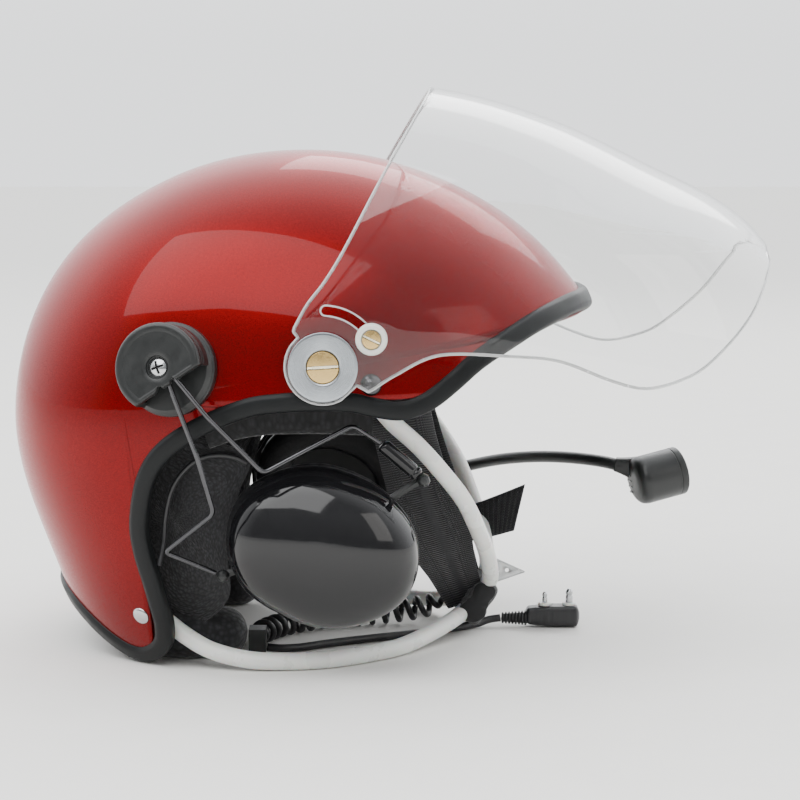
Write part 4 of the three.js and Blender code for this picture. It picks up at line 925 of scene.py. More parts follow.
def side_pad(side, sign):
    """A crowned pad over the ear's rear: depth = PAD_DEPTH times (1 - s^5)^(1/2), s from its middle to its
    outline, less a sewn seam near the rim; it steps in behind the lining by a smoothed step."""
    outline = smooth_path(np.array(SIDE_PAD) * CROWN_RADIUS + (SHELL_X, SHELL_Z), 160, True)
    middle = outline.mean(0)
    s = np.sin(np.linspace(0, math.pi / 2, 22))
    rows = middle + s[:, None, None] * (outline - middle)
    x, z = rows[..., 0], rows[..., 1]
    step = np.clip((LINING_EDGE_X - x) / 5, 0, 1) * np.clip((z - LINING_EDGE_Z) / 4, 0, 1)
    step_depth = LINING_THICKNESS + 0.4
    outer = half_width(SHELL_FORM, x, z, LINING_OFFSET) - step_depth * step * step * (3 - 2 * step)
    crown = np.sqrt(np.maximum(1 - s**5, 0.02))[:, None]
    seam = 1 - 0.35 * bell(s, 0.8, 0.035)[:, None]
    depth = outer - half_width(SHELL_FORM, x, z, LINING_OFFSET - PAD_DEPTH)
    inner = outer - np.maximum(depth, PAD_LEAST) * crown * seam
    front = np.stack([x, -outer + 0.7 * s[:, None] ** 8, z], -1)
    back = np.stack([x, -inner, z], -1)[::-1]
    return surface("side_padding_" + side, mirror(np.concatenate([front, back]), sign), wrap_cols=True,
                   caps=(True, True), uv_scale=(0.25, 0.2), material="knit", slot="black_cloth")


ROLL_ROUTE = [
    [-71.3, -57, 11.5], [-86, -60, 11.5], [-104, -61, 11.5], [-123, -50.5, 13], [-138.5, -30, 20],
    [-144.5, 0, 29], [-138.5, 30, 20], [-123, 50.5, 13], [-104, 61, 11.5], [-86, 60, 11.5],
    [-71.3, 57, 11.5],
]


def make_roll():
    """Stuffed roll: a round section along the nape, round at its ends, wrinkled, and flat underneath."""
    radius = bpy.context.scene.helmet_sizes.roll_radius / MM
    path = smooth_path(ROLL_ROUTE, 200)
    length = np.linalg.norm(np.diff(path, axis=0), axis=1).sum()
    t = np.linspace(0, 1, len(path))
    near = np.minimum(t, 1 - t) * length
    size = np.where(near >= radius, radius, np.sqrt(np.maximum(radius**2 - (radius - near) ** 2, 0.3)))
    sides = 40
    turn = turns(sides, 0.5)
    folds = 0.012 * np.sin(t[:, None] * 150 + 3 * np.sin(turn)) * bell(near[:, None], 0, 26)
    seam = -0.05 * bell(turn, 0.5, 0.12)
    section = squared_section(1, 1, 0.93, sides)[None] * (0.985 + folds + seam)[..., None]
    _, facing, across = frames_along(path, UP)
    round_it = facing[:, None] * section[..., :1] + across[:, None] * section[..., 1:]
    grid = path[:, None] + size[:, None, None] * round_it
    grid[..., 2] = np.maximum(grid[..., 2], 0.02)
    roll = surface("nape_roll", grid, wrap_cols=True, caps=(True, True), uv_scale=(0.075, 0.25),
                   material="knit", slot="black_cloth")
    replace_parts(roll, "neck_roll")


def visor_reach(angles, star):
    """The visor's side outline seen from its star point: lower and upper edges, and the round arm end."""

    def about_hub(shares):
        shares = np.array(shares, float)
        turn = np.radians(shares[:, 0])
        return np.stack([np.cos(turn), np.sin(turn)], 1) * shares[:, 1:] * VISOR_REACH + (HUB_X, HUB_Z)

    line = np.vstack([
        plain_spline(about_hub(VISOR_LOWER), 30),
        about_hub([VISOR_FIRST_UPPER]),
        plain_spline(about_hub(VISOR_UPPER), 30),
        [[HUB_X, HUB_Z]],
    ])
    reach = line_hit(spread(line, 6000, True), star, angles, True)
    toward = np.cos(angles) * (HUB_X - star[0]) + np.sin(angles) * (HUB_Z - star[1])
    miss = (HUB_X - star[0]) ** 2 + (HUB_Z - star[1]) ** 2 - toward**2
    end = toward + np.sqrt(np.maximum(ARM_RADIUS**2 - miss, 0))
    return np.maximum(reach, np.where((miss < ARM_RADIUS**2) & (toward > 0), end, 0))


def slot_cutter(side):
    """A prism along the slot's arc, its half width falling to nothing in a half circle at both ends."""
    count = 60
    more = math.degrees(SLOT_HALF_WIDTH / SLOT_RADIUS)
    turn = np.radians(np.linspace(SLOT_START - more, SLOT_START + SLOT_TURN + more, count))
    path = np.stack([HUB_X + SLOT_RADIUS * np.cos(turn), np.full(count, side * -SLOT_CUT_Y),
                     HUB_Z + SLOT_RADIUS * np.sin(turn)], 1)
    near = np.minimum(turn - turn[0], turn[-1] - turn) * SLOT_RADIUS
    ended = np.sqrt(np.maximum(SLOT_HALF_WIDTH**2 - (SLOT_HALF_WIDTH - near) ** 2, 0.01))
    wide = np.where(near < SLOT_HALF_WIDTH, ended, SLOT_HALF_WIDTH)
    flat = np.array([[-SLOT_CUT_HALF, -1], [SLOT_CUT_HALF, -1], [SLOT_CUT_HALF, 1], [-SLOT_CUT_HALF, 1]])
    return swept("slot_cutter", path, flat, (0, 1, 0), np.stack([np.ones(count), wide], 1))


def bore_cutter(side):
    """A drum through the visor's arm, where the hub sits."""
    profile = [[0, 100], [HUB_BORE, 100], [HUB_BORE, 130], [0, 130]]
    return lathe("bore_cutter", profile, (HUB_X, 0, HUB_Z), RIGHT, 40, 0, side)


def cut_away(piece, cutters):
    """Takes the cutters' forms out of the piece, and the cutters out of the scene."""
    for cutter in cutters:
        cut = piece.modifiers.new("Cut", "BOOLEAN")
        cut.operation, cut.object, cut.solver = "DIFFERENCE", cutter, "EXACT"
    settle(piece)
    for cutter in cutters:
        bpy.data.objects.remove(cutter)


def make_visor():
    """Clear sheet with its hub bores and slots cut through it, and beads painting a highlight on its cut
    edges.
    """
    star = np.array([HUB_X, HUB_Z]) + np.array(VISOR_STAR) * VISOR_REACH

    def to_edge(angles):
        return visor_reach(angles, star)

    def to_outline(angles):
        return outline_hit(VISOR_FORM, star, angles)

    angles = ray_angles(300, to_edge, to_outline)
    reach = np.minimum(to_edge(angles), to_outline(angles))
    visor = two_sided("clear_shield", VISOR_FORM, star, angles, reach, inward=44, cluster=VISOR_POWER,
                      body="visor", material="clear", slot="clear_visor")
    settle(wall(visor, VISOR_THICKNESS))
    cut_away(visor, [cutter(sign) for cutter in (slot_cutter, bore_cutter) for _, sign in SIDES])
    visor.data.shade_smooth()
    visor.data.set_sharp_from_angle(angle=math.radians(40))
    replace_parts(visor, "visor")
    make_visor_rim(star, angles, reach)
    for side, sign in SIDES:
        make_slot_rim(side, sign)


def make_visor_rim(star, angles, reach):
    """Painted highlight on the cut edge: a thin bright bead in the middle of the sheet's thickness all round
    its outline.
    """
    x, z = star[0] + reach * np.cos(angles), star[1] + reach * np.sin(angles)
    y = half_width(VISOR_FORM, x, z, -VISOR_THICKNESS / 2)
    off = reach < outline_hit(VISOR_FORM, star, angles) - 0.3
    first = int(np.nonzero(off & ~np.roll(off, 1))[0][-1])
    order = np.roll(np.arange(len(angles)), -first)
    order = order[off[order]]
    right = np.stack([x[order], -y[order], z[order]], 1)
    loop = spread(np.vstack([right, mirror(right[::-1], -1)]), 1300, True)
    away = unit(loop - np.array([star[0], 0, star[1]]))
    swept("visor_edge_painted_highlight", loop, round_section(VISOR_EDGE_RADIUS, 8), away, closed=True, body="visor",
          material="edge", slot="clear_visor")


def make_slot_rim(side, sign):
    """Painted highlight on the slot's edge, a bright bead on the sheet's outer face: outer arc, round end,
    inner arc, round end.
    """
    start, end = math.radians(SLOT_START), math.radians(SLOT_START + SLOT_TURN)
    arc = np.linspace(start, end, 60)
    cap = np.linspace(0, math.pi, 16)[1:-1]
    wide = SLOT_HALF_WIDTH

    def about(turn, radius):
        return np.stack([HUB_X + radius * np.cos(turn), HUB_Z + radius * np.sin(turn)], 1)

    def round_end(turn, way):
        middle = about(np.array([turn]), SLOT_RADIUS)
        out = np.array([math.cos(turn), math.sin(turn)])
        on = way * np.array([-out[1], out[0]])
        return middle + wide * (np.cos(cap)[:, None] * out * way + np.sin(cap)[:, None] * on)

    loop = np.vstack([about(arc, SLOT_RADIUS + wide), round_end(end, 1),
                      about(arc[::-1], SLOT_RADIUS - wide), round_end(start, -1)])
    x, z = spread(loop, 240, True).T
    path = np.stack([x, -half_width(VISOR_FORM, x, z) + 0.25, z], 1)
    swept("slot_edge_painted_highlight_" + side, mirror(path, sign), round_section(0.4, 8), (0, 1, 0), closed=True,
          body="visor", material="edge", slot="clear_visor")


def from_slot(u, v, angle):
    """Distances of places on a head from a slot's line, and along that line."""
    c, s = math.cos(angle), math.sin(angle)
    return np.abs(c * v - s * u), np.abs(c * u + s * v)


def slotted_head(name, radius, crown, at, normal, slots, width, depth, base, side, reach=2.0, **facts):
    """Crowned round head: height = crown (1 - share^2), less the depth wherever a point lies within half a
    width of a slot's line, eased over a tenth of a millimetre; then an edge wall down to the base. Points
    on the slots' floors and walls are marked, so that the finish can paint shade and a highlight into them."""
    share = np.linspace(0, 1, 46)[:, None]
    turn = turns(180)
    u, v = share * radius * np.cos(turn), share * radius * np.sin(turn)
    cut = np.zeros_like(u)
    for angle in slots:
        off, along = from_slot(u, v, angle)
        ends = np.clip((reach * radius - along) / 0.2 + 0.5, 0, 1)
        cut = np.maximum(cut, np.clip((width / 2 - off) / 0.1 + 0.5, 0, 1) * ends)
    height = crown * (1 - share**2) - depth * cut
    first, second, out = turn_axes(normal)
    top = np.asarray(at, float) + u[..., None] * first + v[..., None] * second + height[..., None] * out
    bottom = top[-1:] - (height[-1][None, :, None] - base) * out
    grid = np.concatenate([top, bottom], 0)
    piece = surface(name, mirror(grid, side), wrap_cols=True, caps=(False, True), **facts)
    points = read_vectors(piece.data.vertices, "co") / MM - (ORIGIN_X, 0, 0)
    place = mirror(points, side) - np.asarray(at, float)
    u, v, h = place @ first, place @ second, place @ out
    square = u**2 + v**2
    low = (h < crown * (1 - square / radius**2) - 0.5 * depth) & (square < (0.999 * radius) ** 2)
    floor, edge = np.zeros(len(u)), np.zeros(len(u))
    for angle in slots:
        off, along = from_slot(u, v, angle)
        within = along <= reach * radius + 0.1
        floor = np.maximum(floor, low & within)
        edge = np.maximum(edge, (np.abs(off - width / 2) < 0.16) & within)
    for key, value in (("slot_floor_painted_highlight_and_shade", floor), ("slot_wall_painted_shade", edge)):
        marks = piece.data.attributes.new(key, "FLOAT", "POINT")
        marks.data.foreach_set("value", value.astype(np.float32))
    return piece


HUB_LOW, HUB_HIGH = 122.6, 125.0
KNOB_LOW, KNOB_FLANGE, KNOB_OVER, KNOB_HEIGHT = 108.5, 118.5, 122.3, 4.6


def make_hub(side, sign):
    """Turned disc with a slotted screw in its middle."""
    hub = np.array([HUB_X, 0, HUB_Z])
    profile = [[7.2, HUB_LOW], [15.3, HUB_LOW], [15.3, HUB_HIGH - 0.2], [14.4, HUB_HIGH], [8.2, HUB_HIGH],
               [7.2, HUB_HIGH - 0.5], [7.2, HUB_LOW]]
    disc = lathe("hub_ring_" + side, profile, hub, RIGHT, 120, 0.25, sign, material="disc", slot="aluminium")
    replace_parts(disc, "hub_disc_" + side)
    screw = slotted_head("hub_bolt_" + side, radius=6.9, crown=0.25, at=hub - (0, HUB_HIGH, 0), normal=RIGHT,
                         slots=[0.06], width=1.3, depth=1.0, base=-2.0, side=sign, material="brass",
                         slot="brass")
    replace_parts(screw, "hub_screw_" + side)


def make_knob(side, sign):
    """Knob at the slot's front end: a flange behind the sheet, a stem, and a rimmed head with its screw."""
    turn = math.radians(SLOT_START)
    at = np.array([HUB_X + SLOT_RADIUS * math.cos(turn), 0, HUB_Z + SLOT_RADIUS * math.sin(turn)])
    over, top = KNOB_OVER, KNOB_OVER + KNOB_HEIGHT
    profile = [[0, KNOB_LOW], [5.1, KNOB_LOW], [5.1, KNOB_FLANGE], [1.9, KNOB_FLANGE], [1.9, over],
               [7, over], [7, top - 0.9], [6.3, top], [4.5, top], [4.3, top - 1.4], [0, top - 1.4]]
    knob = lathe("visor_knob_" + side, profile, at, RIGHT, 64, 0.35, sign, material="nylon", slot="nylon")
    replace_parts(knob, "slide_knob_" + side)
    screw = slotted_head("knob_bolt_" + side, radius=4.0, crown=0.2, at=at - (0, top + 0.1, 0), normal=RIGHT,
                         slots=[-0.45], width=1.0, depth=0.8, base=-1.1, side=sign, material="brass",
                         slot="brass")
    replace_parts(screw, "knob_screw_" + side)


def dome_profile(radius, height, under):
    """A quarter ellipse over a short straight side."""
    turn = np.linspace(0, math.pi / 2, 14)
    rise = np.stack([radius * np.cos(turn), height * np.sin(turn)], 1)
    return np.vstack([[[0, -under], [radius, -under]], rise])


# Name, solid, place in shares of the crown radius, (radius, height, depth sunk), finish
FIXINGS = (
    ("stop_button_", "stop_stud_", (0.297, 0.171), (4.9, 3.4, 1.2), "dark_steel"),
    ("strap_rivet_", "flap_rivet_", (-0.571, -0.727), (4.2, 1.7, 1.0), "steel"),
)


def make_fixings(side, sign):
    """The visor's stop under its arm, and the strap's rivet at the shell's rear corner."""
    for name, node, place, sizes, finish in FIXINGS:
        at, normal = on_shell(*place)
        head = lathe(name + side, dome_profile(*sizes), at, normal, 48, 0, sign, material=finish,
                     slot="steel")
        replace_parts(head, node + side)


MOUNT_AT = (-0.428, 0.222)
MOUNT_RADIUS, MOUNT_BASE, MOUNT_DRUM = 19.7, 7.0, 12.0
DRUM_WALL, WELL_RADIUS = 2.4, 8.42
CHORD, CHORD_TURN = 9.4, math.radians(-56)
WIRE_NOTCHES, NOTCH_HALF, NOTCH_DEPTH = (-4.6, 3.4), 1.5, 1.9

# Rows of the drum from its middle: [radius, height], [share of the outline, height], [inset, height]
DRUM_WELL = [[0.001, -1.7], [4.6, -1.7], [5.0, -1.6], [5.3, -0.2], [5.6, 0.0], [7.6, 0.0], [8.4, 0.0]]
DRUM_FACE = [
    [0.78, 0.0], [0.8, 0.05], [0.84, 0.3], [0.9, 0.3], [0.945, 0.15], [0.975, -0.35], [0.995, -1.1],
    [1.0, -2.2],
]
DRUM_SIDE = [
    [0, -3.0], [0.5, -3.3], [0.5, -3.9], [0, -4.2], [0, -5.2], [0.5, -5.5], [0.5, -6.1], [0, -6.4],
]


def mount_cap(side, sign, at, normal, low, top):
    """Drum cap cut off along a chord: outline = the circle, or the chord's line where that is nearer, with
    two notches for the wires; top face dished round the screw, side grooved, and hollow underneath."""
    turn = turns(360)
    off_chord = (turn - CHORD_TURN + math.pi) % FULL_TURN - math.pi
    line = CHORD / np.maximum(np.cos(np.abs(off_chord)), 0.05)
    across = line * np.sin(off_chord)
    notch = NOTCH_DEPTH * sum(np.exp(-(((across - place) / NOTCH_HALF) ** 4)) for place in WIRE_NOTCHES)
    outline = np.minimum(MOUNT_RADIUS, np.where(np.abs(off_chord) < 1.5, line - notch, MOUNT_RADIUS))
    rounded = np.abs(off_chord) > math.acos(CHORD / MOUNT_RADIUS)
    under = top - DRUM_WALL
    skirt = np.where(rounded, low, under)
    inner = outline - DRUM_WALL * rounded
    rows = [(radius, top + height) for radius, height in DRUM_WELL]
    rows += [(np.maximum(outline * share, WELL_RADIUS * min(1, share + 0.2)), top + height)
             for share, height in DRUM_FACE]
    rows += [(outline - inset * rounded, top + height) for inset, height in DRUM_SIDE]
    rows += [
        (outline, np.where(rounded, low + 0.3, under)),
        (outline - 0.3 * rounded, skirt),
        (inner + 0.2 * rounded, skirt),
        (inner, np.where(rounded, low + 0.4, under)),
        (inner, under - 0.6 * rounded),
        (np.minimum(outline, 7.0), under - 0.6),
        (0.001, under - 0.6),
    ]
    whole = np.array([[np.broadcast_to(value, turn.shape) for value in row] for row in rows])[..., None]
    radii, heights = whole[:, 0], whole[:, 1]
    first, second, out = turn_axes(normal)
    ring = np.cos(turn)[:, None] * first + np.sin(turn)[:, None] * second
    grid = at + radii * ring + np.maximum(heights, skirt[:, None]) * out
    cap = surface("mount_drum_" + side, mirror(grid, sign), wrap_cols=True, material="plastic",
                  slot="black_plastic")
    cap.data.set_sharp_from_angle(angle=math.radians(38))
    return cap


def make_mount(side, sign):
    """Ear mount: turned base, drum cap, a boss under it and a crossed screw."""
    at, normal = on_shell(*MOUNT_AT)
    low = MOUNT_BASE + FIT_GAP
    top = low + MOUNT_DRUM
    plastic = dict(material="plastic", slot="black_plastic")
    profile = [[0, -2.6], [20.3, -2.6], [20.9, 0], [20.9, 3.2], [20.1, 3.6], [20.1, 4.4], [20.6, 4.8],
               [18.5, MOUNT_BASE], [0, MOUNT_BASE]]
    base = lathe("mount_foot_" + side, profile, at, normal, 96, 0.3, sign, **plastic)
    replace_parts(base, "mount_base_" + side)
    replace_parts(mount_cap(side, sign, at, normal, low, top), "mount_cap_" + side)
    boss = [[0, low], [5.4, low], [5.4, top - 3.2], [0, top - 3.2]]
    lathe("mount_boss_" + side, boss, at, normal, 40, 0.3, sign, **plastic)
    screw = slotted_head("mount_bolt_" + side, radius=4.5, crown=1.9, at=at + normal * (top - 1.7),
                         normal=normal, slots=[0.35, 0.35 + math.pi / 2], width=0.95, depth=1.5, base=-0.2,
                         side=sign, reach=0.62, material="steel", slot="steel")
    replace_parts(screw, "mount_screw_" + side)


WIRE_BEND = 3.0
WIRES = {
    "rear": [
        [-100.8, -125, 136.05], [-89, -124, 104], [-82, -118, 77], [-105, -106, 57.5], [-82.7, -99.9, 47],
    ],
    "front": [
        [-98.05, -126, 138.45], [-84, -125.5, 121], [-60, -121, 95.5], [-21, -108, 115], [-8.5, -105, 106.5],
    ],
}
SLEEVE_FROM, SLEEVE_TO = np.array([-8.1, -105, 106.1]), np.array([8.2, -105, 92.0])


def make_arms(side, sign):
    """Spring wires with round bends, and the front one's gloss sleeve, with a rounded mouth and a groove."""
    arm = "ear_arm_" + side
    radius = bpy.context.scene.helmet_sizes.wire_radius / MM
    for name, route in WIRES.items():
        path = bent_path(mirror(route, sign), WIRE_BEND, 260)
        wire = swept(name + "_spring_" + side, path, round_section(radius, 18), (0.3, 0.9, 0.1), body=arm,
                     material="dark_steel", slot="steel")
        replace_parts(wire, name + "_wire_" + side)
    run = SLEEVE_TO - SLEEVE_FROM
    long = float(np.linalg.norm(run))
    profile = [[0, 0], [2.2, 0], [3.3, 1.4], [3.3, long - 3.6], [2.9, long - 3.1], [2.9, long - 2.5],
               [3.3, long - 2.0], [3.3, long - 0.8], [2.4, long], [0, long]]
    grip = lathe("spring_grip_" + side, profile, SLEEVE_FROM, run / long, 40, 0.5, sign, body=arm,
                 material="gloss", slot="gloss_black")
    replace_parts(grip, "wire_sleeve_" + side)


CUP_MOUTH = 0.945
CUSHION_Y, CUSHION_SHARE = -85.9, 0.7257
CUSHION_DEEP, CUSHION_WIDE = 8.5, 9.0


def cup_ring(share, count=220):
    """Places round the cup's outline, at a share of its size."""
    turn = turns(count)
    r = polar_radius(CUP_FORM["radii"], turn) * share
    return CUP_X + r * np.cos(turn), CUP_Z + r * np.sin(turn)


def make_cup(side, sign):
    """Ear cup's dome: depth = CUP_DEPTH (1 - s^2.2)^(1 / 2.2), s the share of the outline; a rolled lip, and
    the same form inside, less the wall."""
    cup = "ear_cup_" + side
    x, z = cup_ring(1.0)

    def at_shares(shares, y):
        return np.stack([CUP_X + (x - CUP_X) * shares, y + 0 * x, CUP_Z + (z - CUP_Z) * shares], -1)

    s = np.sin(np.linspace(0, 1, 46) * math.pi / 2)[:, None]
    depth = CUP_DEPTH * (1 - s**CUP_POWER) ** (1 / CUP_POWER)
    lip = np.array([[1.0, 0.25], [0.972, 0.5], [CUP_MOUTH, 0.3]])
    grid = np.concatenate([
        at_shares(s, CUP_BASE_Y - depth),
        at_shares(lip[:, :1], CUP_BASE_Y - 0.4 + lip[:, 1:]),
        at_shares(s[::-1] * CUP_MOUTH, CUP_BASE_Y - np.maximum(depth[::-1] - CUP_WALL, 0)),
    ])
    dome = surface("ear_dome_" + side, mirror(grid, sign), wrap_cols=True, body=cup, material="gloss",
                   slot="gloss_black")
    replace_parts(dome, "ear_cup_shell_" + side)
    make_seam(side, sign, cup)
    make_cushion(side, sign, cup)


def make_seam(side, sign, cup):
    """Thin seam bead round the cup's mouth, a little proud of it."""
    x, z = cup_ring(0.992)
    path = np.stack([x, np.full_like(x, CUP_BASE_Y + 0.35), z], 1)
    swept("cup_bead_" + side, mirror(path, sign), squared_section(0.7, 0.5, 0.7, 12), (0, 1, 0), closed=True,
          body=cup, material="plastic", slot="gloss_black")


def make_cushion(side, sign, cup):
    """Ring cushion: a full rounded section round the cup, pinched by a seam on its inner and outer faces and
    gathered in small folds towards the seam."""
    crease = bpy.context.scene.helmet_sizes.cushion_crease
    count, sides = 300, 44
    x, z = cup_ring(CUSHION_SHARE, count)
    path = np.stack([x, np.full_like(x, CUSHION_Y), z], 1)
    turn, t = turns(sides, 0.5), turns(count)[:, None]
    pinch = bell(np.abs(np.sin(turn)), 1, 0.02) * crease
    folds = 0.014 * np.sin(46 * t + 2 * np.cos(turn)) + 0.01 * np.sin(29 * t + 1.7)
    size = 1 - pinch + folds * bell(np.cos(turn), 0, 0.4)
    section = squared_section(CUSHION_DEEP, CUSHION_WIDE, 0.75, sides) * size[..., None] * 0.985
    cushion = swept("ear_cushion_ring_" + side, mirror(path, sign), section, (0, 1, 0), closed=True,
                    uv_size=(0.055, 0.2), body=cup, material="skin", slot="cushion_skin")
    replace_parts(cushion, "ear_cushion_" + side)


UPPER_HALF = [
    [-11.5, -97.5, 124.5], [-3.5, -94, 114.5], [8, -87, 103], [18, -80, 91], [29, -66, 75], [36.5, -50, 58],
    [41.5, -34, 43], [43.5, -20, 29.5], [41.5, -9, 23], [40, 0, 21.3],
]
LOWER_HALF = [
    [-118, -77, 27], [-108, -78, 21], [-98, -82.5, 14.5], [-86, -87.5, 8.8], [-68, -90.5, 5],
    [-50, -89.5, 4.1], [-32, -85, 4.05], [-14, -73, 4.05], [0, -60, 4.3], [12, -44, 6], [23, -29, 9],
    [31, -14, 11.7], [33.5, 0, 12.5],
]


def whole_hoop(half):
    """The right half of a route, and the left one back from its middle."""
    half = np.array(half, float)
    return np.vstack([half, mirror(half[-2::-1], -1)])


def make_tubes():
    """Chin hoops: a round tube along each."""
    radius = bpy.context.scene.helmet_sizes.tube_radius / MM
    for name, half in (("upper", UPPER_HALF), ("lower", LOWER_HALF)):
        path = smooth_path(whole_hoop(half), 420)
        section = round_section(radius, 28)
        hoop = swept(name + "_chin_hoop", path, section, material="tube", slot="clear_tube")
        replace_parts(hoop, "chin_tube_" + name)


CHIN_SLEEVE = [[25.3, 9.5], [37.3, 4.7], [48.3, 23.5], [38, 28.3]]
SLEEVE_HALF = 20.7


def make_chin_sleeve():
    """Fabric sleeve laced round both hoops: a rounded four-cornered section carried across, pinched and
    wrinkled where the tubes leave it, with a lapped seam."""
    loop = smooth_path(rounded_loop(CHIN_SLEEVE, 4.5, 5), 96, True)
    y = np.linspace(-SLEEVE_HALF, SLEEVE_HALF, 120)[:, None]
    out = unit(loop - loop.mean(0))
    turn = np.arctan2(out[:, 1], out[:, 0])
    far = np.abs(y) / SLEEVE_HALF
    folds = 0.75 * np.sin(turn * 3 + y * 0.4) * (0.35 + 0.65 * far**2)
    folds += 0.4 * np.sin(turn * 7 - y * 0.7 + 1.1) * far
    pull = -1.0 * np.maximum(0, far - 0.86) / 0.14
    shift = np.minimum(folds + pull - 0.5 * bell(turn, 2.4, 0.09), 0.9)
    grid = np.stack([loop[:, 0] + out[:, 0] * shift, y + 0 * shift, loop[:, 1] + out[:, 1] * shift], -1)
    sleeve = surface("chin_wrap", grid, wrap_cols=True, caps=(True, True), uv_scale=(0.2, 0.09),
                     material="sleeve", slot="webbing")
    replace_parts(sleeve, "chin_sleeve")


STRAP = [
    [-2, -89, 126.8], [0.5, -83, 115], [4, -72, 98], [11, -54, 72], [19, -36, 49], [28.5, -14.5, 24.5],
    [32.5, -9, 15],
]
STRAP_WIDE = [1, 1, 1.04, 1.12, 1.14, 0.86, 0.7]
STRAP_THICK, STRAP_HALF = 0.9, 14.0


def make_straps():
    """Chin straps: flat woven bands with thicker sewn edges."""
    count = 130
    wide = np.interp(np.linspace(0, 1, count), np.linspace(0, 1, len(STRAP_WIDE)), STRAP_WIDE)
    section = squared_section(STRAP_THICK, STRAP_HALF, 0.35, 44)
    section[:, 0] *= 0.78 + 0.2 * bell(np.abs(section[:, 1]) / STRAP_HALF, 0.86, 0.07)
    scale = np.stack([np.ones(count), wide], 1)
    for side, sign in SIDES:
        facing = np.array([0, -sign, -0.35])
        strap = swept("chin_web_" + side, mirror(smooth_path(STRAP, count), sign), section, facing, scale,
                      uv_size=(0.06, 0.13), material="webbing", slot="webbing")
        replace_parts(strap, "chin_strap_" + side)


def thin_plate(name, rows, thickness, **facts):
    """A grid of places in the side view with half the thickness on either side of it, thin at its rim."""
    half = thickness / 2 * np.ones(rows.shape[:2])
    half[[0, -1]] *= 0.25
    half[:, [0, -1]] *= 0.25
    front, back = rows.copy(), rows.copy()
    front[..., 1] -= half
    back[..., 1] += half
    loop = np.concatenate([front, back[:, ::-1]], 1)
    return surface(name, loop, wrap_cols=True, caps=(True, True), **facts)


def between(start, end, share):
    """The place at a share of the way from start to end."""
    return np.array(start) * (1 - share) + np.array(end) * share


def make_tail():
    """Strap end: a ribbon between a top and a bottom line, ribbed across."""
    u = np.linspace(0, 1, 150)[:, None, None]
    v = np.linspace(0, 1, 16)[None, :, None]
    top = between([31.0, 41.0, 52.8], [62.6, 30.0, 67.0], u)
    bottom = between([36.5, 42.0, 36.0], [57.2, 31.0, 43.2], u)
    rows = between(top, bottom, v)
    rows[..., 1] -= 1.5 * np.sin(math.pi * u[..., 0])
    ribs = 1.35 * (1 + 0.2 * np.sin(u[..., 0] * FULL_TURN * 24))
    tail = thin_plate("strap_loose_end", rows, ribs, uv_scale=(0.035, 0.045), material="webbing",
                      slot="webbing")
    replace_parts(tail, "strap_tail")


TAG_CORNERS, TAG_HOLE = [[46.6, 34.2], [62.0, 27.2], [47.4, 22.0]], np.array([52.6, 28.0])
TAG_Y = (5.0, 5.8)


def make_tag():
    """Small clear tag beside the chin sleeve, with a round hole."""
    loop = spread(rounded_loop(TAG_CORNERS, 1.2, 5), 96, True)
    turn = np.arctan2(*(loop - TAG_HOLE).T[::-1])
    loop = loop[np.argsort(turn)]
    turn = np.sort(turn)
    hole = TAG_HOLE + np.stack([np.cos(turn), np.sin(turn)], 1)
    rows = ((hole, TAG_Y[0]), (loop, TAG_Y[0]), (loop, TAG_Y[1]), (hole, TAG_Y[1]))
    grid = np.stack([np.stack([r[:, 0], np.full(len(r), y), r[:, 1]], 1) for r, y in rows])
    surface("strap_tag", grid, wrap_rows=True, wrap_cols=True, material="edge", slot="clear_tube")


BOOM = [
    [20, 102.3, 61], [31, 100, 64.6], [40, 93.5, 67.8], [54, 79, 72.5], [72, 60, 76.5], [90, 40, 78.5],
    [103, 27, 78.4], [110, 22.5, 77.2], [117, 21.5, 75.6],
]
BOOM_RADIUS = 3.0
PIVOT = [[0, 99.3], [5.2, 99.3], [6, 100], [6, 104.2], [5.2, 105.3], [2.2, 105.3], [1.9, 104.7], [0, 104.7]]
CAPSULE = [
    [0, -0.7], [6.0, -0.5], [9.4, 0.3], [11.3, 1.9], [12, 4.2], [12, 20.6], [11.75, 20.8], [11.75, 21.2],
    [12, 21.4], [12, 24.3], [11.3, 24.9], [10.1, 24.9], [9.8, 23.9], [0, 23.9],
]
CAPSULE_AXIS = unit(np.array([0.92, 0.3, 0.2]))
CAPSULE_AT = np.array([127.3, 19.4, 72.6]) - 12.4 * CAPSULE_AXIS


def make_microphone():
    """Boom and its pivot disc, a widening neck, a capsule with a stepped ring, and four ports on its end."""
    facts = dict(body="mic", material="plastic", slot="black_plastic")
    boom = swept("boom_arm", smooth_path(BOOM, 260), round_section(BOOM_RADIUS, 24), **facts)
    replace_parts(boom, "mic_boom")
    lathe("boom_pivot", PIVOT, (17, 0, 60), (0, 1, 0), 56, 0.35, **facts)
    t = np.linspace(0, 1, 40)
    neck = between([107.0, 24.0, 77.9], [122.5, 21.0, 75.2], t[:, None])
    swept("boom_socket", neck, squared_section(1, 1, 0.5, 40), UP,
          np.stack([3.4 + 4.4 * t**1.3, 3.3 + 2.2 * t], 1), **facts)
    profile = rounded_profile(CAPSULE, 1.2, 6)
    capsule = lathe("mic_housing", profile, CAPSULE_AT, CAPSULE_AXIS, 144, 0, **facts)
    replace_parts(capsule, "mic_capsule", "mic_cap")
    first, second, out = turn_axes(CAPSULE_AXIS)
    bar = np.linspace(-1, 1, 12)[:, None]
    for row in range(4):
        middle = CAPSULE_AT + out * -0.35 + second * (3.2 - row * 2.9) + first * 4.4
        swept("mic_port_" + str(row + 1), middle + first * bar * (2.6 - 0.35 * row),
              squared_section(0.5, 0.55, 0.6, 12), out, body="mic", material="gloss", slot="black_plastic")


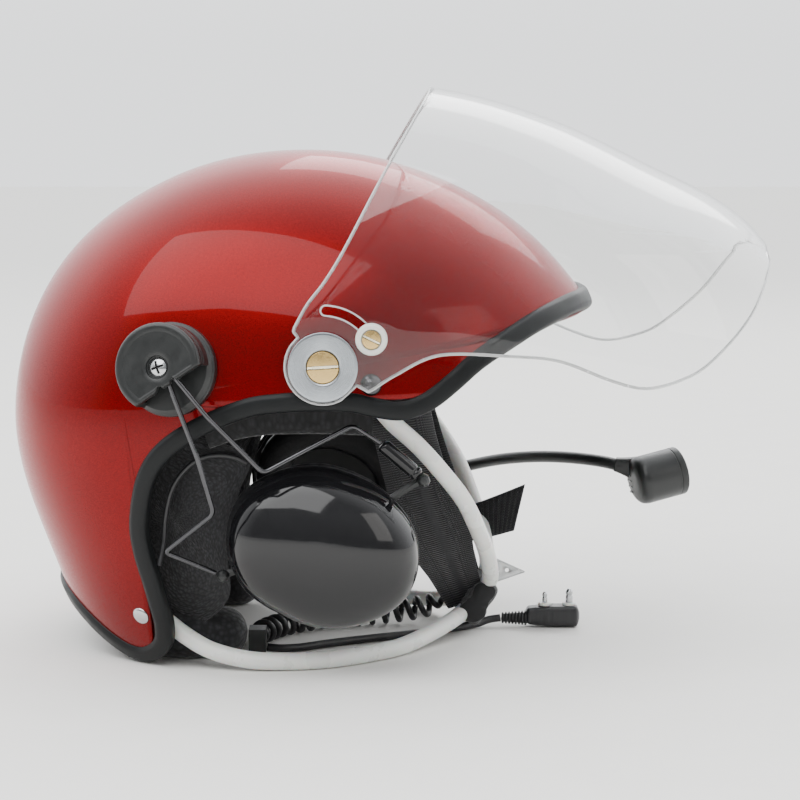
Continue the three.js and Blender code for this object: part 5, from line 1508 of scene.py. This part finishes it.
COIL = [
    [-66.6, -51.1, 6.8], [-66.4, -44, 6.5], [-64, -33, 6.3], [-57, -20, 6.2], [-45, -8, 6.2], [-28, 2, 6.2],
    [-10, 7.5, 6.4], [8, 9.5, 8.3], [19, 9, 11.6], [26.8, 8.6, 14],
]
COIL_TURNS, COIL_RADIUS, COIL_WIRE = 19, 4.5, 1.5
LEAD = [
    [-62.2, -57, 3.4], [-57, -56.5, 2.8], [-48, -52, 2.1], [-34, -43, 2.1], [-18, -34, 2.1], [0, -25, 2.1],
    [16, -16, 2.1], [30, -6, 2.1], [38, 0.6, 2.3], [44.2, 3.8, 3.7], [49.4, 4.2, 4.4],
]
LEAD_RADIUS = 1.9
CROSS = [
    [-69, -93, 95.5], [-74, -94.5, 98.5], [-82, -95.5, 99.8], [-90, -95.5, 98], [-97, -95, 92.5],
    [-102.5, -94.5, 84], [-105.5, -94, 72], [-106.5, -95, 60], [-108.3, -98.1, 50],
]
CROSS_RADIUS = 1.2


def coil_path():
    """Helix about the route: point = route + side r cos(turn) + up r sin(turn), with straight ends."""
    count = COIL_TURNS * 26
    route = smooth_path(COIL, count)
    long = np.linalg.norm(np.diff(route, axis=0), axis=1).sum()
    t = np.linspace(0, 1, count)
    straight = 3 * COIL_WIRE / long
    grow = np.clip((np.minimum(t, 1 - t) - straight) / (2 * straight), 0, 1)[:, None]
    along = unit(np.gradient(route, axis=0))
    side = unit(np.cross(np.broadcast_to(UP, along.shape), along))
    turn = (FULL_TURN * COIL_TURNS * t)[:, None]
    return route + grow * COIL_RADIUS * (side * np.cos(turn) + np.cross(along, side) * np.sin(turn))


def cord_along(name, path, radius, sides, facing, node):
    """A round cord along a path, in its solid's stead."""
    piece = swept(name, path, round_section(radius, sides), facing, material="cord", slot="cord_rubber")
    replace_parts(piece, node)
    return piece


def make_cords():
    """The curly and the straight cord with what hangs on them; each runs the way its solid does."""
    path = coil_path()
    coil = cord_along("curly_cord", path, COIL_WIRE, 14, UP, "coil_cord")
    path = smooth_path(LEAD, 320)
    lead = cord_along("straight_cord", path, LEAD_RADIUS, 20, UP, "lead_cord")
    make_plug()
    cord_along("crossover_cable", smooth_path(CROSS, 200), CROSS_RADIUS, 14, (0, 1, 0), "cross_cable")


BOOT_AT = np.array([50, 4.2, 4.4])
PLUG_LOW, PLUG_SIZE = np.array([61.5, -0.6, 0.4]), np.array([26.8, 11, 10.5])
PLUG_END = 2.2
PIN_Y, PIN_Z = 4.9, 10.9

# Name, X, radius, height, solid
PINS = (("short_pin", 71.3, 1.25, 6.5, "pin_small"), ("long_pin", 83.3, 1.75, 8.0, "pin_large"))
COLLAR = [[0, -0.3], [3.4, -0.3], [3.4, 0.9], [2.6, 1.2], [0, 1.2]]


def make_boot():
    """Strain relief: eight ribs, each a little wider than the one before, and a flared foot."""
    profile = [[0, -0.3]]
    for i in range(8):
        stem, rib, at = 2.0 + 0.1 * i, 2.75 + 0.13 * i, 1.6 * i
        profile += [[stem, at], [rib, at + 0.2], [rib, at + 1.0], [stem, at + 1.2]]
    profile += [[2.9, 13.4], [3.6, 18.0], [0, 18.0]]
    boot = lathe("cord_boot", profile, BOOT_AT, (1, 0, 0), 56, 0.3, material="cord", slot="cord_rubber")
    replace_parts(boot, "strain_relief")
    return boot


def make_plug():
    """Strain relief, the plug's rounded and grooved body, its white collars and two stepped pins."""
    boot = make_boot()
    t = np.linspace(0, 1, 60)
    near = np.minimum(t, 1 - t) * PLUG_SIZE[0]
    ease = np.where(near < PLUG_END, np.sqrt(np.maximum(1 - (1 - near / PLUG_END) ** 2, 0.12)), 1)
    size = ease * (0.78 + 0.22 * np.minimum(1, t / 0.45))
    grooves = np.clip(np.sin(t * FULL_TURN * 7) * 2, 0, 1) * ((t > 0.1) & (t < 0.5))
    half = np.full_like(t, 0.5)
    path = PLUG_LOW + PLUG_SIZE * np.stack([t, half, half], 1)
    body = swept("plug_moulding", path, squared_section(PLUG_SIZE[2] / 2, PLUG_SIZE[1] / 2, 0.42, 56), UP,
                 np.stack([size, size * (1 - 0.03 * grooves)], 1), material="cord", slot="black_plastic")
    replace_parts(body, "plug_body")
    parts = [boot, body]
    for name, x, radius, tall, node in PINS:
        base = np.array([x, PIN_Y, PIN_Z])
        collar = lathe(name + "_collar", COLLAR, base, UP, 44, 0.25, material="nylon", slot="nylon")
        neck = radius * 0.86
        shape = [[0, 1.1], [radius, 1.1], [radius, tall * 0.55], [neck, tall * 0.58], [neck, tall * 0.66],
                 [radius, tall * 0.69], [radius, tall * 0.82], [radius * 0.45, tall], [0, tall]]
        pin = lathe(name, shape, base, UP, 40, 0.15, material="steel", slot="steel")
        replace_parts(pin, node)
        parts += [collar, pin]
    return parts


def on_both_sides(*makers):
    """Runs each maker for the right side, then for the left one."""
    for maker in makers:
        for side, sign in SIDES:
            maker(side, sign)


class HELMET_OT_materials(bpy.types.Operator):
    """Make the finishes and dress the solids that keep their own mesh"""
    bl_idname = "helmet.materials"
    bl_label = "Materials"

    def execute(self, context):
        make_finishes(context.scene.helmet_colours)
        dress_kept_nodes()
        return {"FINISHED"}


class HELMET_OT_stage(bpy.types.Operator):
    """Set the camera, the soft lights and the pale floor"""
    bl_idname = "helmet.stage"
    bl_label = "Camera and light"

    def execute(self, context):
        if not MATERIALS:
            raise RuntimeError("the finishes come first: run the materials operator")
        make_stage()
        return {"FINISHED"}


class HELMET_OT_cords(bpy.types.Operator):
    """Make the curly cord, the straight cord with its plug, and the crossover cable"""
    bl_idname = "helmet.cords"
    bl_label = "Cords and plug"

    def execute(self, context):
        make_cords()
        return {"FINISHED"}


class HELMET_OT_shell(bpy.types.Operator):
    """Make the lacquered shell, its rubber trim and its round fixings"""
    bl_idname = "helmet.shell"
    bl_label = "Shell and trim"

    def execute(self, context):
        make_shell()
        make_trim()
        on_both_sides(make_fixings)
        return {"FINISHED"}


class HELMET_OT_linings(bpy.types.Operator):
    """Make the comfort lining, the pads behind and over the ears, and the neck roll"""
    bl_idname = "helmet.linings"
    bl_label = "Linings"

    def execute(self, context):
        make_linings()
        make_roll()
        return {"FINISHED"}


class HELMET_OT_visor(bpy.types.Operator):
    """Make the clear visor, its hub discs and its sliding knobs"""
    bl_idname = "helmet.visor"
    bl_label = "Visor"

    def execute(self, context):
        make_visor()
        on_both_sides(make_hub, make_knob)
        return {"FINISHED"}


class HELMET_OT_ears(bpy.types.Operator):
    """Make the ear mounts, spring wires, cups and cushions"""
    bl_idname = "helmet.ears"
    bl_label = "Ear cups"

    def execute(self, context):
        on_both_sides(make_mount, make_arms, make_cup)
        return {"FINISHED"}


class HELMET_OT_chin(bpy.types.Operator):
    """Make the chin hoops, their sleeve, the straps and the tag"""
    bl_idname = "helmet.chin"
    bl_label = "Chin guard and straps"

    def execute(self, context):
        make_tubes()
        make_chin_sleeve()
        make_straps()
        make_tail()
        make_tag()
        return {"FINISHED"}


class HELMET_OT_microphone(bpy.types.Operator):
    """Make the boom microphone"""
    bl_idname = "helmet.microphone"
    bl_label = "Microphone"

    def execute(self, context):
        make_microphone()
        return {"FINISHED"}


def aim(item, target):
    """Turns an object so that its -Z axis points from where it stands to the target."""
    away = np.asarray(item.location) - np.asarray(target)
    flat = math.hypot(away[0], away[1])
    item.rotation_euler = (math.atan2(flat, away[2]), 0, math.atan2(away[0], -away[1]))


def area_light(name, place, target, size, power, colour):
    """A soft rectangular light that faces its target."""
    light = bpy.data.lights.new(name, "AREA")
    light.shape, light.energy, light.color = "RECTANGLE", power, colour
    light.size, light.size_y = size
    item = bpy.data.objects.new(name, light)
    item.location = place
    aim(item, target)
    bpy.context.scene.collection.objects.link(item)


TARGET = (ORIGIN_X * MM, 0.0, 0.113)
FLOOR_HALF = 6.0
SENSOR_WIDTH = 36
ROOM_DIM = 0.2
ROOM_HORIZON, ROOM_CEILING = 1.85, 3.2

# Name, place, target, size, share of the key light's power, colour
LIGHTS = (
    ("overhead", (-0.5, -0.75, 1.35), (0, 0, 0.16), (1.9, 1.1), 1, (1, 1, 1)),
    ("fill", (1.5, -1.1, 0.9), (0, 0, 0.12), (0.8, 1.1), 0.22, (1, 0.97, 0.93)),
    ("rim", (0.5, 1.5, 1.3), (0, 0, 0.15), (1.4, 0.8), 0.5, (1, 1, 1)),
)


def make_stage():
    """Camera at the photo's view, a pale table, a soft light over the camera's left, a fill and a rim."""
    stage = bpy.context.scene.helmet_stage
    mesh = bpy.data.meshes.new("table_top")
    corners = [(x * FLOOR_HALF, y * FLOOR_HALF, 0) for x, y in ((-1, -1), (1, -1), (1, 1), (-1, 1))]
    mesh.from_pydata(corners, [], [(0, 1, 2, 3)])
    floor = bpy.data.objects.new("table_top", mesh)
    bpy.context.scene.collection.objects.link(floor)
    mesh.materials.append(stage_floor())
    camera = bpy.data.cameras.new("view")
    camera.lens, camera.sensor_width = stage.lens, SENSOR_WIDTH
    eye = bpy.data.objects.new("view", camera)
    back, up = stage.distance * math.cos(stage.elevation), stage.distance * math.sin(stage.elevation)
    eye.location = (TARGET[0], -back, TARGET[2] + up)
    aim(eye, TARGET)
    bpy.context.scene.collection.objects.link(eye)
    bpy.context.scene.camera = eye
    for name, place, target, size, share, colour in LIGHTS:
        area_light(name, place, target, size, stage.key_power * share, colour)
    light_room()


def light_room():
    """A pale room: light overhead and behind the helmet, dim behind the camera so that gloss stays dark."""
    world = bpy.context.scene.world or bpy.data.worlds.new("room")
    bpy.context.scene.world = world
    world.use_nodes = True
    nodes, links = world.node_tree.nodes, world.node_tree.links
    place = nodes.new("ShaderNodeTexCoord")
    parts = nodes.new("ShaderNodeSeparateXYZ")
    links.new(place.outputs["Generated"], parts.inputs[0])
    both = nodes.new("ShaderNodeMath")
    both.operation = "MULTIPLY"
    ranges = {"Y": (-0.5, 0.35, ROOM_DIM, 1), "Z": (0.02, 0.5, ROOM_HORIZON, ROOM_CEILING)}
    for socket, (axis, values) in zip(both.inputs, ranges.items()):
        fade = nodes.new("ShaderNodeMapRange")
        for key, value in zip(("From Min", "From Max", "To Min", "To Max"), values):
            fade.inputs[key].default_value = value
        links.new(parts.outputs[axis], fade.inputs["Value"])
        links.new(fade.outputs["Result"], socket)
    back = nodes["Background"]
    back.inputs["Color"].default_value = (0.97, 0.985, 1.0, 1)
    links.new(both.outputs[0], back.inputs["Strength"])


STEPS = (
    HELMET_OT_materials,
    HELMET_OT_stage,
    HELMET_OT_cords,
    HELMET_OT_shell,
    HELMET_OT_linings,
    HELMET_OT_visor,
    HELMET_OT_ears,
    HELMET_OT_chin,
    HELMET_OT_microphone,
)


class HELMET_PT_panel(bpy.types.Panel):
    """Sizes, colours and steps of the helmet"""
    bl_idname = "HELMET_PT_panel"
    bl_label = "Helmet"
    bl_space_type = "VIEW_3D"
    bl_region_type = "UI"
    bl_category = "Helmet"

    def draw(self, context):
        for step in STEPS:
            self.layout.operator(step.bl_idname)
        for group in (context.scene.helmet_sizes, context.scene.helmet_colours, context.scene.helmet_stage):
            box = self.layout.box()
            for key in group.__annotations__:
                box.prop(group, key)


GROUPS = (HelmetColours, HelmetSizes, HelmetStage)


def register():
    for kind in GROUPS + STEPS + (HELMET_PT_panel,):
        bpy.utils.register_class(kind)
    bpy.types.Scene.helmet_colours = bpy.props.PointerProperty(type=HelmetColours)
    bpy.types.Scene.helmet_sizes = bpy.props.PointerProperty(type=HelmetSizes)
    bpy.types.Scene.helmet_stage = bpy.props.PointerProperty(type=HelmetStage)


def unregister():
    del bpy.types.Scene.helmet_stage
    del bpy.types.Scene.helmet_sizes
    del bpy.types.Scene.helmet_colours
    for kind in reversed(GROUPS + STEPS + (HELMET_PT_panel,)):
        bpy.utils.unregister_class(kind)


def main():
    register()
    for step in STEPS:
        getattr(bpy.ops.helmet, step.bl_idname.split(".")[1])()


if __name__ == "__main__":
    main()
